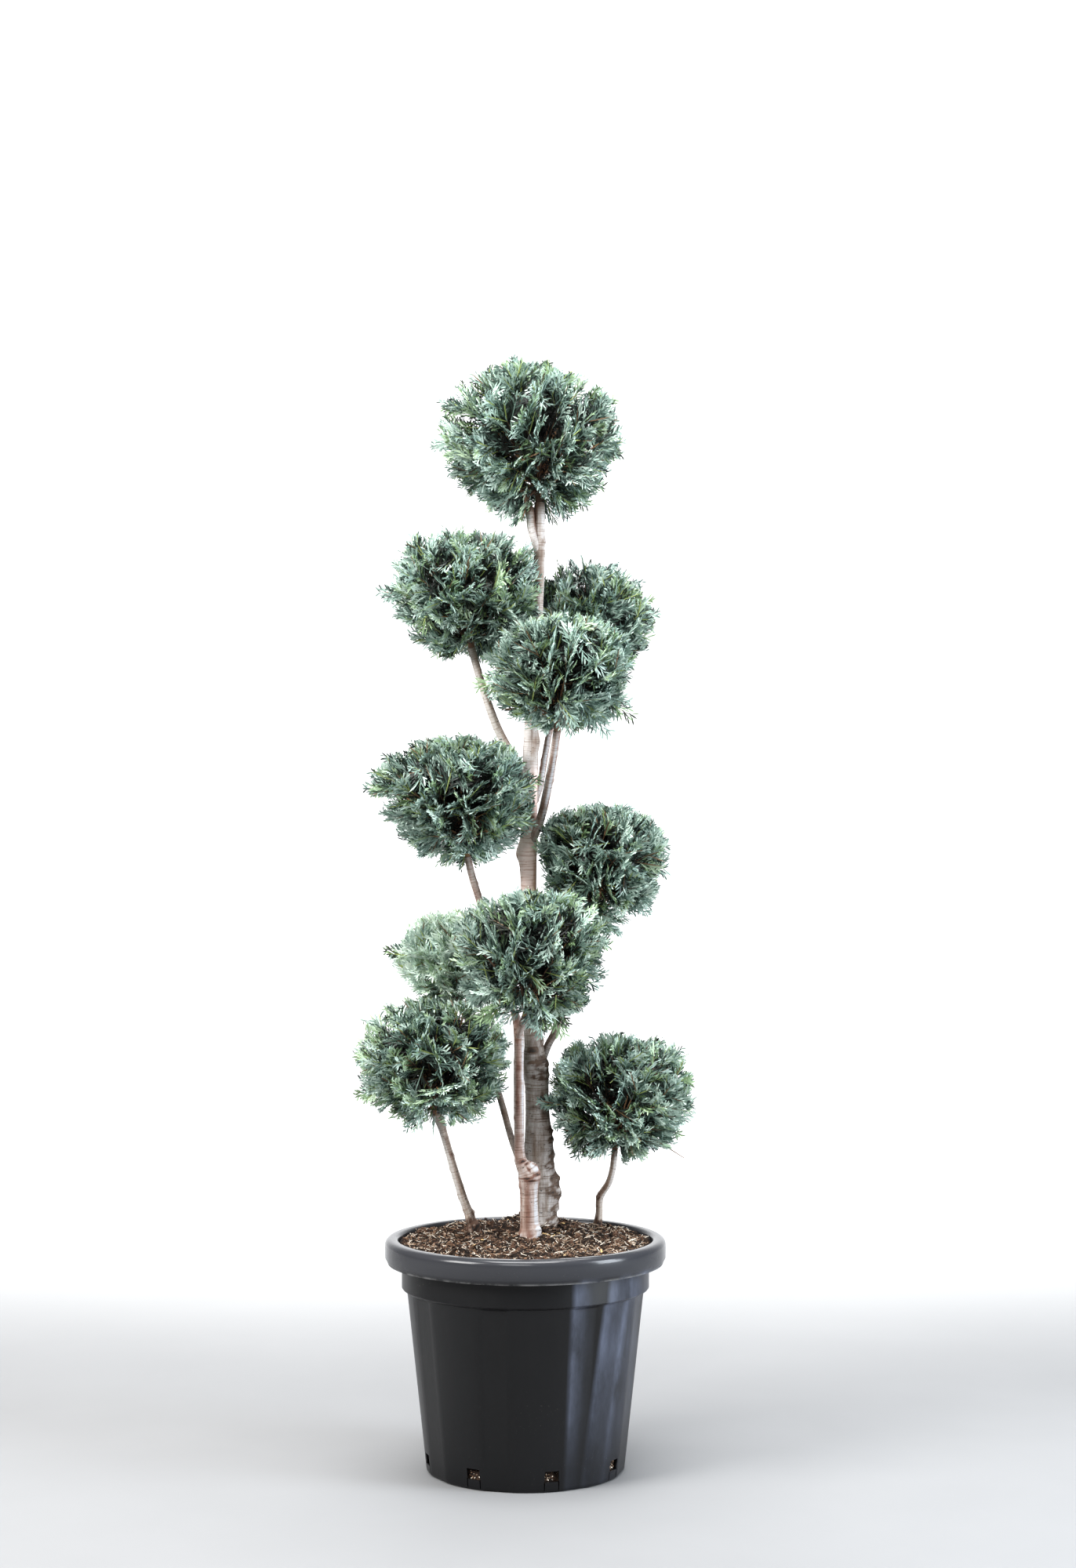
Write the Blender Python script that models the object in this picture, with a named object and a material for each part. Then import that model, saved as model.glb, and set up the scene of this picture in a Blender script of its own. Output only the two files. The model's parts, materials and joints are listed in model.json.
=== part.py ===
"""A potted columnaris cypress, pruned into ten pompons on bare stems.

Metres, +Z up, +X to the right and +Y to the rear. The origin is the centre of the
pot's flat underside. Every limb and every pompon of foliage is a solid of its own.
"""

import math
import random
from collections import namedtuple

import bmesh
import bpy
from mathutils import Vector

GAP = 0.0003  # clearance between solids that touch on the real plant
GOLDEN_ANGLE = math.pi * (3 - math.sqrt(5))
SHARP_ANGLE = math.radians(35)

# Pot: radii of its outer face and the heights where they change
POT_SIDES = 40
POT_PHASE = math.radians(21)  # first edge of a flat panel, from the front towards +X
POT_WALL = 0.0026
FLOOR_THICKNESS = 0.004
FOOT_RADIUS = 0.1365
BASE_RADIUS = 0.1405
BASE_CHAMFER = 0.006
BODY_TOP_RADIUS = 0.1675
BODY_TOP = 0.255
COLLAR_RADIUS = 0.175
COLLAR_BOTTOM = 0.259
COLLAR_TOP = 0.2955
RIM_RADIUS = 0.199
RIM_TOP = 0.328
MOUTH_RADIUS = 0.1795
RIM_ROUNDING = 0.0045
RIM_CROWN = 0.0025
RIM_LOW_SHARE = 0.15  # where the rim's upright face starts and ends, as shares of its height
RIM_HIGH_SHARE = 0.66

# Flat panels pressed into the body, one every five sides and two sides wide
PANEL_PERIOD = 5
PANEL_MIDDLE = 1

# Drain slots low in the body
SLOT_COUNT = 8
SLOT_PHASE = math.radians(15)
SLOT_WIDTH = 0.020
SLOT_BOTTOM = 0.0145
SLOT_HEIGHT = 0.015
SLOT_REACH = 0.030

# Potting mix: a plateau that slopes down to the wall of the pot
SOIL_LEVEL = 0.326
SOIL_EDGE_LEVEL = 0.318
PLATEAU_RADIUS = 0.155

# Pompons
CORE_SHARE = 0.74  # the dense core, as a share of the reach of the sprays
CORE_SUBDIVISIONS = 2
CORE_LUMPINESS = 0.07
BLADES_PER_POMPON = 29
BLADE_SHARE = 0.56  # blade length as a share of the pompon's reach
BLADE_ASPECT = 0.46  # half width over length
BLADE_THICKNESS = 0.0032
BLADE_JITTER = 0.16
BLADE_MIDDLE = 0.55  # the thickest place, as a share of the length
SOURCE_DEPTH = 0.40  # how far under the centre the sprays seem to spring from
LIMB_CLEARANCE = 0.002  # between a spray and any limb
SPACE_CLEARANCE = 1.03  # sprays stay this far out of a neighbour's space, as a share of its reach
SAMPLE_STEPS = 8  # tests along a limb for each of its stations
STEM_SIDES = 6
STEM_BEND = 0.25  # how far up a pompon's stem turns towards the centre
STEM_TAPER = (1, 0.95, 0.7)  # its thickness at its foot, its bend and its top, against its limb's tip

# Half outline of a toothed blade: share of the length, share of the half width
BLADE_TEETH = ((0.36, 0.72), (0.52, 0.30), (0.74, 0.95), (0.76, 0.26))

# A limb follows its stations, each an x, y, z and a radius. A standing limb starts
# from the potting mix, and any other limb starts inside the limb that carries it.
Limb = namedtuple("Limb", "name carrier sides steps bark stations swellings")

# A swelling: height, direction round the limb from the front, size, half height
Swelling = namedtuple("Swelling", "z azimuth size spread")

TRUNK = Limb(
    "trunk", None, 11, 1, "grey_bark",
    (
        (0.0195, 0.0600, SOIL_LEVEL, 0.0260),
        (0.0195, 0.0595, 0.350, 0.0220),
        (0.0190, 0.0585, 0.400, 0.0205),
        (0.0175, 0.0560, 0.450, 0.0195),
        (0.0165, 0.0540, 0.517, 0.0166),
        (0.0145, 0.0510, 0.566, 0.0180),
        (0.0115, 0.0480, 0.600, 0.0138),
        (0.0066, 0.0400, 0.712, 0.0124),
        (0.0044, 0.0330, 0.824, 0.0112),
        (0.0036, 0.0300, 0.875, 0.0125),
        (0.0058, 0.0275, 0.925, 0.0110),
        (0.0070, 0.0230, 1.005, 0.0104),
        (0.0100, 0.0190, 1.090, 0.0088),
        (0.0170, 0.0130, 1.213, 0.0070),
        (0.0194, 0.0100, 1.286, 0.0072),
        (0.0200, 0.0070, 1.330, 0.0074),
        (0.0205, 0.0040, 1.370, 0.0068),
    ),
    (
        Swelling(0.385, math.radians(95), 0.42, 0.030),
        Swelling(0.455, math.radians(80), 0.15, 0.025),
        Swelling(0.568, math.radians(-60), 0.25, 0.014),
        Swelling(0.872, math.radians(-90), 0.35, 0.012),
        Swelling(1.030, math.radians(90), 0.30, 0.010),
    ),
)

FRONT_STEM = Limb(
    "front_stem", None, 8, 2, "brown_bark",
    (
        (0.0067, -0.0060, SOIL_LEVEL, 0.0165),
        (0.0058, -0.0060, 0.340, 0.0140),
        (0.0050, -0.0060, 0.385, 0.0125),
        (0.0035, -0.0062, 0.418, 0.0142),
        (-0.0085, -0.0080, 0.442, 0.0070),
        (-0.0102, -0.0100, 0.500, 0.0062),
        (-0.0104, -0.0150, 0.560, 0.0060),
        (-0.0106, -0.0120, 0.620, 0.0060),
        (-0.0180, 0.0020, 0.655, 0.0056),
        (-0.0402, 0.0130, 0.719, 0.0054),
        (-0.0646, 0.0060, 0.803, 0.0052),
        (-0.0755, -0.0020, 0.839, 0.0050),
        (-0.0819, -0.0100, 0.868, 0.0050),
    ),
    (Swelling(0.420, math.radians(60), 0.30, 0.012),),
)

LEFT_STEM = Limb(
    "left_stem", None, 7, 2, "grey_bark",
    (
        (-0.0715, 0.0430, SOIL_LEVEL, 0.0085),
        (-0.0809, 0.0380, 0.355, 0.0066),
        (-0.0942, 0.0300, 0.394, 0.0060),
        (-0.1148, 0.0120, 0.468, 0.0055),
        (-0.1205, 0.0060, 0.489, 0.0066),
        (-0.1262, 0.0005, 0.503, 0.0056),
    ),
    (),
)

RIGHT_STEM = Limb(
    "right_stem", None, 7, 2, "grey_bark",
    (
        (0.1033, 0.1000, SOIL_LEVEL, 0.0068),
        (0.1063, 0.0940, 0.347, 0.0052),
        (0.1078, 0.0880, 0.371, 0.0052),
        (0.1203, 0.0770, 0.395, 0.0048),
        (0.1259, 0.0710, 0.417, 0.0046),
        (0.1284, 0.0680, 0.442, 0.0046),
    ),
    (),
)

LEFT_LEADER = Limb(
    "left_leader", "trunk", 7, 2, "grey_bark",
    (
        (0.0195, 0.0080, 1.296, 0.0050),
        (0.0100, 0.0010, 1.326, 0.0056),
        (0.0070, -0.0010, 1.341, 0.0054),
        (0.0060, -0.0030, 1.362, 0.0052),
    ),
    (),
)

BOUGH_UPPER_LEFT = Limb(
    "bough_upper_left", "trunk", 7, 2, "grey_bark",
    (
        (0.0065, 0.0240, 0.975, 0.0068),
        (-0.0180, 0.0180, 1.010, 0.0062),
        (-0.0400, 0.0090, 1.050, 0.0060),
        (-0.0611, 0.0000, 1.109, 0.0055),
        (-0.0764, -0.0080, 1.163, 0.0052),
    ),
    (),
)

BOUGH_UPPER_FRONT = Limb(
    "bough_upper_front", "trunk", 7, 2, "brown_bark",
    (
        (0.0050, 0.0280, 0.880, 0.0062),
        (0.0210, 0.0130, 0.919, 0.0062),
        (0.0333, -0.0080, 0.966, 0.0058),
        (0.0409, -0.0320, 1.003, 0.0054),
        (0.0473, -0.0560, 1.044, 0.0052),
    ),
    (),
)

BOUGH_UPPER_RIGHT = Limb(
    "bough_upper_right", "trunk", 6, 2, "brown_bark",
    (
        (0.0060, 0.0270, 0.930, 0.0042),
        (0.0200, 0.0320, 0.965, 0.0042),
        (0.0310, 0.0380, 1.010, 0.0040),
        (0.0584, 0.0600, 1.088, 0.0040),
        (0.0812, 0.0760, 1.126, 0.0040),
    ),
    (),
)

BOUGH_MID_RIGHT = Limb(
    "bough_mid_right", "trunk", 7, 2, "grey_bark",
    (
        (0.0140, 0.0510, 0.545, 0.0060),
        (0.0302, 0.0540, 0.590, 0.0055),
        (0.0448, 0.0540, 0.621, 0.0052),
        (0.0673, 0.0500, 0.689, 0.0050),
        (0.0850, 0.0350, 0.766, 0.0050),
    ),
    (),
)

BOUGH_CENTRE = Limb(
    "bough_centre", "front_stem", 7, 2, "brown_bark",
    (
        (-0.0106, -0.0125, 0.610, 0.0052),
        (-0.0060, -0.0300, 0.628, 0.0050),
        (0.0000, -0.0520, 0.645, 0.0048),
    ),
    (),
)

BOUGH_CENTRE_LEFT = Limb(
    "bough_centre_left", "front_stem", 7, 2, "grey_bark",
    (
        (-0.0080, -0.0080, 0.436, 0.0050),
        (-0.0200, 0.0020, 0.468, 0.0047),
        (-0.0405, 0.0340, 0.535, 0.0045),
        (-0.0611, 0.0540, 0.587, 0.0045),
        (-0.0945, 0.0640, 0.652, 0.0044),
    ),
    (),
)

LIMBS = (
    TRUNK, FRONT_STEM, LEFT_STEM, RIGHT_STEM, LEFT_LEADER, BOUGH_UPPER_LEFT, BOUGH_UPPER_FRONT,
    BOUGH_UPPER_RIGHT, BOUGH_MID_RIGHT, BOUGH_CENTRE, BOUGH_CENTRE_LEFT,
)

# A pompon is centred where it is widest. Its half width, half depth, height above and
# depth below are the reach of its sprays. The higher its dome and skirt are, the more
# its upper and lower part look like a box than like a ball.
Pompon = namedtuple("Pompon", "name limb x y z half_width half_depth above below dome skirt")

MASSES = (
    ("pompon_top", "trunk",
     (0.003, 0.000, 1.474, 0.131, 0.114, 0.095, 0.129, 2.1, 1.9)),
    ("pompon_upper_left", "bough_upper_left",
     (-0.0835, -0.020, 1.240, 0.1055, 0.092, 0.090, 0.092, 2.9, 2.0)),
    ("pompon_upper_right", "bough_upper_right",
     (0.089, 0.086, 1.200, 0.092, 0.078, 0.096, 0.086, 2.1, 2.0)),
    ("pompon_upper_front", "bough_upper_front",
     (0.049, -0.082, 1.135, 0.098, 0.080, 0.070, 0.086, 2.6, 2.3)),
    ("pompon_mid_left", "front_stem",
     (-0.100, -0.035, 0.960, 0.111, 0.094, 0.077, 0.098, 2.4, 1.8)),
    ("pompon_mid_right", "bough_mid_right",
     (0.106, 0.012, 0.875, 0.091, 0.086, 0.066, 0.118, 2.6, 1.8)),
    ("pompon_centre", "bough_centre",
     (0.011, -0.082, 0.747, 0.104, 0.082, 0.075, 0.118, 2.6, 2.0)),
    ("pompon_centre_left", "bough_centre_left",
     (-0.107, 0.066, 0.720, 0.079, 0.080, 0.067, 0.076, 2.1, 2.0)),
    ("pompon_lower_left", "left_stem",
     (-0.130, -0.012, 0.593, 0.105, 0.096, 0.078, 0.104, 2.3, 2.1)),
    ("pompon_lower_right", "right_stem",
     (0.137, 0.070, 0.530, 0.103, 0.092, 0.079, 0.100, 2.6, 2.3)),
)
POMPONS = tuple(Pompon(name, limb, *sizes) for name, limb, sizes in MASSES)


def linear(value):
    """One sRGB channel as linear light."""
    return value / 12.92 if value <= 0.04045 else ((value + 0.055) / 1.055) ** 2.4


def make_material(name, srgb, roughness):
    """A Principled material of one colour."""
    material = bpy.data.materials.new(name)
    material.use_nodes = True
    shader = material.node_tree.nodes["Principled BSDF"]
    shader.inputs["Base Color"].default_value = (*map(linear, srgb), 1)
    shader.inputs["Roughness"].default_value = roughness
    shader.inputs["Metallic"].default_value = 0
    return material


def make_materials():
    return {
        "pot_plastic": make_material("pot_plastic", (0.15, 0.15, 0.165), 0.42),
        "potting_mix": make_material("potting_mix", (0.34, 0.27, 0.21), 0.95),
        "grey_bark": make_material("grey_bark", (0.66, 0.62, 0.59), 0.80),
        "brown_bark": make_material("brown_bark", (0.60, 0.50, 0.46), 0.78),
        "foliage": make_material("foliage", (0.36, 0.43, 0.38), 0.85),
    }


def add_object(name, shape, material, collection=None):
    """An object made from a bmesh, which is freed."""
    bmesh.ops.recalc_face_normals(shape, faces=shape.faces)
    mesh = bpy.data.meshes.new(name)
    shape.to_mesh(mesh)
    shape.free()
    if material:
        mesh.materials.append(material)
    thing = bpy.data.objects.new(name, mesh)
    (collection or bpy.context.scene.collection).objects.link(thing)
    return thing


def settle(thing):
    """Puts the evaluated shape of an object in place of its mesh and modifiers."""
    bpy.context.view_layer.update()
    graph = bpy.context.evaluated_depsgraph_get()
    shape = bpy.data.meshes.new_from_object(thing.evaluated_get(graph))
    worn = thing.data
    thing.modifiers.clear()
    thing.data = shape
    shape.name = thing.name
    bpy.data.meshes.remove(worn)


def drop(thing):
    mesh = thing.data
    bpy.data.objects.remove(thing)
    bpy.data.meshes.remove(mesh)


def cut(thing, cutter):
    """Cuts one object out of another, and removes the cutter."""
    cutter.hide_render = True
    cutter.display_type = "WIRE"
    modifier = thing.modifiers.new("Cut", "BOOLEAN")
    modifier.operation = "DIFFERENCE"
    modifier.solver = "EXACT"
    modifier.object = cutter
    settle(thing)
    drop(cutter)


def join_rings(shape, rings, ends):
    """Faces between neighbouring rings of vertices, and caps to the two end points."""
    for low, high in zip(rings, rings[1:]):
        for k in range(len(low)):
            shape.faces.new((low[k - 1], low[k], high[k], high[k - 1]))
    for ring, end in zip((rings[0], rings[-1]), ends):
        tip = shape.verts.new(end)
        for k in range(len(ring)):
            shape.faces.new((ring[k - 1], ring[k], tip))


def turned(profile, inset):
    """A turned solid. Each point of the profile is a radius, a height and whether it has flats."""
    shape = bmesh.new()
    rings = []
    for radius, height, flats in profile[1:-1]:
        ring = []
        for side in range(POT_SIDES):
            angle = POT_PHASE + side * math.tau / POT_SIDES
            in_panel = flats and side % PANEL_PERIOD == PANEL_MIDDLE
            reach = (radius - inset) * (math.cos(math.tau / POT_SIDES) if in_panel else 1)
            ring.append(shape.verts.new((reach * math.sin(angle), -reach * math.cos(angle), height)))
        rings.append(ring)
    join_rings(shape, rings, [(0, 0, profile[0][1]), (0, 0, profile[-1][1])])
    return shape


def inner_wall():
    """The inside of the pot from its floor to its mouth: radius, height, flats."""
    mouth_slope = (MOUTH_RADIUS - COLLAR_RADIUS + POT_WALL)
    return [
        (BASE_RADIUS - POT_WALL, FLOOR_THICKNESS, True),
        (BODY_TOP_RADIUS - POT_WALL, BODY_TOP - POT_WALL, True),
        (COLLAR_RADIUS - POT_WALL, COLLAR_BOTTOM, False),
        (COLLAR_RADIUS - POT_WALL, COLLAR_TOP, False),
        (MOUTH_RADIUS, COLLAR_TOP + 2 * mouth_slope, False),
    ]


def make_pot(material):
    """The pot, with its rolled rim, collar, flat panels and drain slots."""
    rim_depth = RIM_TOP - COLLAR_TOP
    outer = [
        (0, 0, False),
        (FOOT_RADIUS, 0, True),
        (BASE_RADIUS, BASE_CHAMFER, True),
        (BODY_TOP_RADIUS, BODY_TOP, True),
        (COLLAR_RADIUS, COLLAR_BOTTOM, False),
        (COLLAR_RADIUS, COLLAR_TOP, False),
        (RIM_RADIUS - RIM_ROUNDING, COLLAR_TOP, False),
        (RIM_RADIUS, COLLAR_TOP + RIM_LOW_SHARE * rim_depth, False),
        (RIM_RADIUS, COLLAR_TOP + RIM_HIGH_SHARE * rim_depth, False),
        (RIM_RADIUS - RIM_ROUNDING, RIM_TOP - RIM_CROWN, False),
        ((RIM_RADIUS + MOUTH_RADIUS) / 2, RIM_TOP, False),
        (MOUTH_RADIUS + RIM_CROWN, RIM_TOP - RIM_CROWN, False),
    ]
    profile = outer + inner_wall()[::-1] + [(0, FLOOR_THICKNESS, False)]
    pot = add_object("pot", turned(profile, 0), material)
    slots = bmesh.new()
    for number in range(SLOT_COUNT):
        angle = SLOT_PHASE + number * math.tau / SLOT_COUNT
        outward = Vector((math.sin(angle), -math.cos(angle), 0))
        across = Vector((math.cos(angle), math.sin(angle), 0))
        middle = outward * BASE_RADIUS + Vector((0, 0, SLOT_BOTTOM + SLOT_HEIGHT / 2))
        box = bmesh.ops.create_cube(slots, size=1)["verts"]
        for vert in box:
            x, y, z = vert.co
            vert.co = middle + outward * x * SLOT_REACH + across * y * SLOT_WIDTH
            vert.co.z += z * SLOT_HEIGHT
    cut(pot, add_object("slot_cutter", slots, None))
    return pot


def make_soil(material):
    """The potting mix, which fills the pot to just under its rim."""
    wall = inner_wall()
    mouth = wall[-1]
    slope = (mouth[0] - wall[-2][0]) / (mouth[1] - wall[-2][1])
    edge_radius = wall[-2][0] + slope * (SOIL_EDGE_LEVEL - wall[-2][1])
    profile = [(0, FLOOR_THICKNESS + GAP, False)]
    profile += [(radius, max(height, FLOOR_THICKNESS + GAP), flats) for radius, height, flats in wall[:-1]]
    profile += [
        (min(edge_radius, MOUTH_RADIUS), SOIL_EDGE_LEVEL, False),
        (PLATEAU_RADIUS, SOIL_LEVEL, False),
        (0, SOIL_LEVEL, False),
    ]
    return add_object("soil", turned(profile, 2 * GAP), material)


def spline(before, start, end, after, t):
    """A point of the smooth curve through four values, between the middle two."""
    return 0.5 * (
        2 * start
        + (end - before) * t
        + (2 * before - 5 * start + 4 * end - after) * t * t
        + (3 * start - before - 3 * end + after) * t * t * t
    )


def route(limb, steps):
    """The limb's axis as centres and radii, with some steps between its stations."""
    stations = limb.stations
    last = len(stations) - 1
    points = []
    for index in range(last):
        around = [stations[min(max(index + k, 0), last)] for k in (-1, 0, 1, 2)]
        for step in range(steps):
            values = [spline(*column, step / steps) for column in zip(*around)]
            points.append((Vector(values[:3]), values[3]))
    points.append((Vector(stations[last][:3]), stations[last][3]))
    return points


def tangent(points, index):
    ahead = points[min(index + 1, len(points) - 1)][0]
    behind = points[max(index - 1, 0)][0]
    return (ahead - behind).normalized()


def round_the_axis(normal, angle):
    """A direction square to an axis, turned round it by an angle from the right."""
    side = Vector((1, 0, 0)) - normal * normal.x
    side.normalize()
    return side * math.cos(angle) + normal.cross(side) * math.sin(angle)


def swelling_at(limb, height, azimuth):
    """How much the limb bulges at a height and a direction round it."""
    bulge = 0
    for swelling in limb.swellings:
        facing = max(0, math.cos(azimuth - swelling.azimuth))
        bulge += swelling.size * facing ** 2 * math.exp(-(((height - swelling.z) / swelling.spread) ** 2))
    return bulge


def tube(limb, extra):
    """A limb's solid, swept along its route, thicker all round by extra."""
    points = route(limb, limb.steps)
    shape = bmesh.new()
    rings = []
    for index, (centre, radius) in enumerate(points):
        standing = index == 0 and limb.carrier is None
        normal = Vector((0, 0, 1)) if standing else tangent(points, index)
        ring = []
        for k in range(limb.sides):
            outward = round_the_axis(normal, k * math.tau / limb.sides)
            azimuth = math.atan2(outward.x, -outward.y)
            reach = radius * (1 + swelling_at(limb, centre.z, azimuth)) + extra
            ring.append(shape.verts.new(centre + outward * reach))
        rings.append(ring)
    if limb.carrier is None:
        lift = GAP - extra
        for vert in rings[0]:
            vert.co.z += lift
    ends = [sum((vert.co for vert in ring), Vector()) / limb.sides for ring in (rings[0], rings[-1])]
    join_rings(shape, rings, ends)
    return shape


def make_limb(limb, materials):
    """A trunk, stem or bough, cut clear of the limb that carries it."""
    thing = add_object(limb.name, tube(limb, 0), materials[limb.bark])
    if limb.carrier:
        carrier = next(other for other in LIMBS if other.name == limb.carrier)
        cut(thing, add_object("carrier_cutter", tube(carrier, GAP), None))
    return thing


def limb_samples():
    """Centres and radii close together along every limb, to keep foliage clear of them."""
    samples = []
    for limb in LIMBS:
        for centre, radius in route(limb, SAMPLE_STEPS):
            bulge = max((swelling_at(limb, centre.z, s.azimuth) for s in limb.swellings), default=0)
            samples.append((centre, radius * (1 + bulge)))
    return samples


def depth_in(pompon, point):
    """0 at the centre of a pompon's space, 1 on its edge, more outside it."""
    x, y, z = point.x - pompon.x, point.y - pompon.y, point.z - pompon.z
    power, reach_z = (pompon.dome, pompon.above) if z > 0 else (pompon.skirt, pompon.below)
    parts = (abs(x) / pompon.half_width, abs(y) / pompon.half_depth, abs(z) / reach_z)
    return sum(part ** power for part in parts) ** (1 / power)


def reach_of(pompon, direction):
    """The distance from the centre of a pompon to its edge in a direction."""
    centre = Vector((pompon.x, pompon.y, pompon.z))
    return 1 / depth_in(pompon, centre + direction)


def blade_points(root, tip, roll):
    """The outline of a toothed blade and its two thick middle points."""
    along = tip - root
    length = along.length
    along.normalize()
    level = along.cross(Vector((0, 0, 1)))
    if level.length < 0.1:
        level = Vector((1, 0, 0))
    level.normalize()
    rise = level.cross(along)
    across = level * math.cos(roll) + rise * math.sin(roll)
    normal = along.cross(across)
    half_width = length * BLADE_ASPECT
    sides = [[], []]
    for share, width in BLADE_TEETH:
        for side, sign in zip(sides, (1, -1)):
            side.append(root + along * length * share + across * half_width * width * sign)
    outline = [root] + sides[0] + [tip] + sides[1][::-1]
    middle = root + along * length * BLADE_MIDDLE
    faces = [middle + normal * BLADE_THICKNESS / 2, middle - normal * BLADE_THICKNESS / 2]
    return outline, faces


def is_free(pompon, outline, samples):
    """Whether a blade keeps to its pompon's space and clear of every limb."""
    checks = list(outline)
    for start, end in zip(outline, outline[1:] + outline[:1]):
        checks.append((start + end) / 2)
    for other in POMPONS:
        if other is not pompon and any(depth_in(other, point) < SPACE_CLEARANCE for point in checks):
            return False
    for centre, radius in samples:
        if any((point - centre).length < radius + LIMB_CLEARANCE for point in checks):
            return False
    return True


def add_blade(name, outline, faces, collection):
    shape = bmesh.new()
    ring = [shape.verts.new(point) for point in outline]
    for middle in faces:
        apex = shape.verts.new(middle)
        for k in range(len(ring)):
            shape.faces.new((ring[k - 1], ring[k], apex))
    return add_object(name, shape, None, collection)


def add_core(pompon, material, dice):
    """The dense middle of a pompon, a lumpy ball of the pompon's own outline."""
    shape = bmesh.new()
    bmesh.ops.create_icosphere(shape, subdivisions=CORE_SUBDIVISIONS, radius=1)
    centre = Vector((pompon.x, pompon.y, pompon.z))
    for vert in shape.verts:
        direction = vert.co.normalized()
        lump = 1 + CORE_LUMPINESS * dice.uniform(-1, 1)
        vert.co = centre + direction * reach_of(pompon, direction) * CORE_SHARE * lump
    return add_object(pompon.name, shape, material)


def add_stem(pompon, collection):
    """The short stem on which a pompon grows on from the tip of its limb."""
    limb = next(limb for limb in LIMBS if limb.name == pompon.limb)
    points = route(limb, limb.steps)
    tip, radius = points[-1]
    leaving = tangent(points, len(points) - 1)
    centre = Vector((pompon.x, pompon.y, pompon.z))
    start = tip + leaving * GAP
    bend = start + leaving * STEM_BEND * (centre - start).length
    rising = (centre - bend).normalized()
    shape = bmesh.new()
    rings = []
    for middle, normal, share in zip((start, bend, centre), (leaving, rising, rising), STEM_TAPER):
        ring = []
        for k in range(STEM_SIDES):
            outward = round_the_axis(normal, k * math.tau / STEM_SIDES)
            ring.append(shape.verts.new(middle + outward * radius * share))
        rings.append(ring)
    join_rings(shape, rings, [start, centre])
    return add_object("stem", shape, None, collection)


def make_pompon(pompon, number, materials, samples):
    """One pompon: a core, the stem under it and toothed blades that stand out of it."""
    dice = random.Random(number)
    core = add_core(pompon, materials["foliage"], dice)
    sprays = bpy.data.collections.new(pompon.name + "_sprays")
    bpy.context.scene.collection.children.link(sprays)
    add_stem(pompon, sprays)
    centre = Vector((pompon.x, pompon.y, pompon.z))
    source = centre - Vector((0, 0, SOURCE_DEPTH * pompon.below))
    for k in range(BLADES_PER_POMPON):
        level = 1 - 2 * (k + 0.5) / BLADES_PER_POMPON
        angle = k * GOLDEN_ANGLE + number
        ring = math.sqrt(1 - level * level)
        direction = Vector((ring * math.cos(angle), ring * math.sin(angle), level))
        direction += Vector([dice.uniform(-BLADE_JITTER, BLADE_JITTER) for _ in range(3)])
        direction.normalize()
        roll = dice.uniform(0, math.pi)
        reach = reach_of(pompon, direction)
        tip = centre + direction * reach
        growth = (tip - source).normalized()
        outline, faces = blade_points(tip - growth * reach * BLADE_SHARE, tip, roll)
        if is_free(pompon, outline, samples):
            add_blade(f"spray_{k}", outline, faces, sprays)
    modifier = core.modifiers.new("Join", "BOOLEAN")
    modifier.operation = "UNION"
    modifier.solver = "EXACT"
    modifier.operand_type = "COLLECTION"
    modifier.collection = sprays
    settle(core)
    for thing in list(sprays.objects):
        drop(thing)
    bpy.data.collections.remove(sprays)
    return core


def main():
    for thing in list(bpy.data.objects):
        bpy.data.objects.remove(thing)
    materials = make_materials()
    pot = make_pot(materials["pot_plastic"])
    pot.data.shade_smooth()
    pot.data.set_sharp_from_angle(angle=SHARP_ANGLE)
    make_soil(materials["potting_mix"])
    for limb in LIMBS:
        make_limb(limb, materials).data.shade_smooth()
    samples = limb_samples()
    for number, pompon in enumerate(POMPONS):
        make_pompon(pompon, number, materials, samples)


main()
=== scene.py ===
"""Looks of the potted columnaris cypress: relief bark, ten clipped pompons of flat sprays,
a black nursery pot and its potting mix. Metres, +Z up, +X right, +Y to the rear."""

import json
import random
from collections import namedtuple
from math import atan2, cos, degrees, exp, hypot, pi, radians, sin, sqrt, tau

import bmesh
import bpy
import numpy as np
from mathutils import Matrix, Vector, noise

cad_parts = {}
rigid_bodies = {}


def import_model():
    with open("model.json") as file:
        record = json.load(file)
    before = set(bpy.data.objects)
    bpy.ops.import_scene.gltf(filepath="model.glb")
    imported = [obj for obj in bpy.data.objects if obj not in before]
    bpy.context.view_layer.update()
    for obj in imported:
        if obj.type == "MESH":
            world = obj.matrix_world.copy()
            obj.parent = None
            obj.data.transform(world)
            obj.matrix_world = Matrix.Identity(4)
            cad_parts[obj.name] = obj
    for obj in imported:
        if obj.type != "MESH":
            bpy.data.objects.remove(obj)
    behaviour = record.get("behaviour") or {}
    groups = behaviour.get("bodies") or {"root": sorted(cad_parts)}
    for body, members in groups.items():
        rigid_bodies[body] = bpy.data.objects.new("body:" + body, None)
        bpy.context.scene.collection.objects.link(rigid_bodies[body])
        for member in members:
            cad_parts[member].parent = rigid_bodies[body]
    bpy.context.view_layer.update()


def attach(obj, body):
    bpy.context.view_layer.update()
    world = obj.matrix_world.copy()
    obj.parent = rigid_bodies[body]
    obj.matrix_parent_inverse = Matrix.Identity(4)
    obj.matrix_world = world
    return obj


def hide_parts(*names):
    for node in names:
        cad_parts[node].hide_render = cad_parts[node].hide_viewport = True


for leftover in list(bpy.data.objects):
    bpy.data.objects.remove(leftover)
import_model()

GOLDEN_ANGLE = pi * (3 - sqrt(5))
UP = np.array((0.0, 0.0, 1.0))


def mm(length):
    """Millimetres as metres."""
    return round(length / 1000, 7)


# Camera: eye height, distance and focal length read from the photograph
CAMERA_PLACE = (0.0178, -3.945, 0.970)
CAMERA_LENS = 63.9
CAMERA_SENSOR = 36.0

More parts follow.
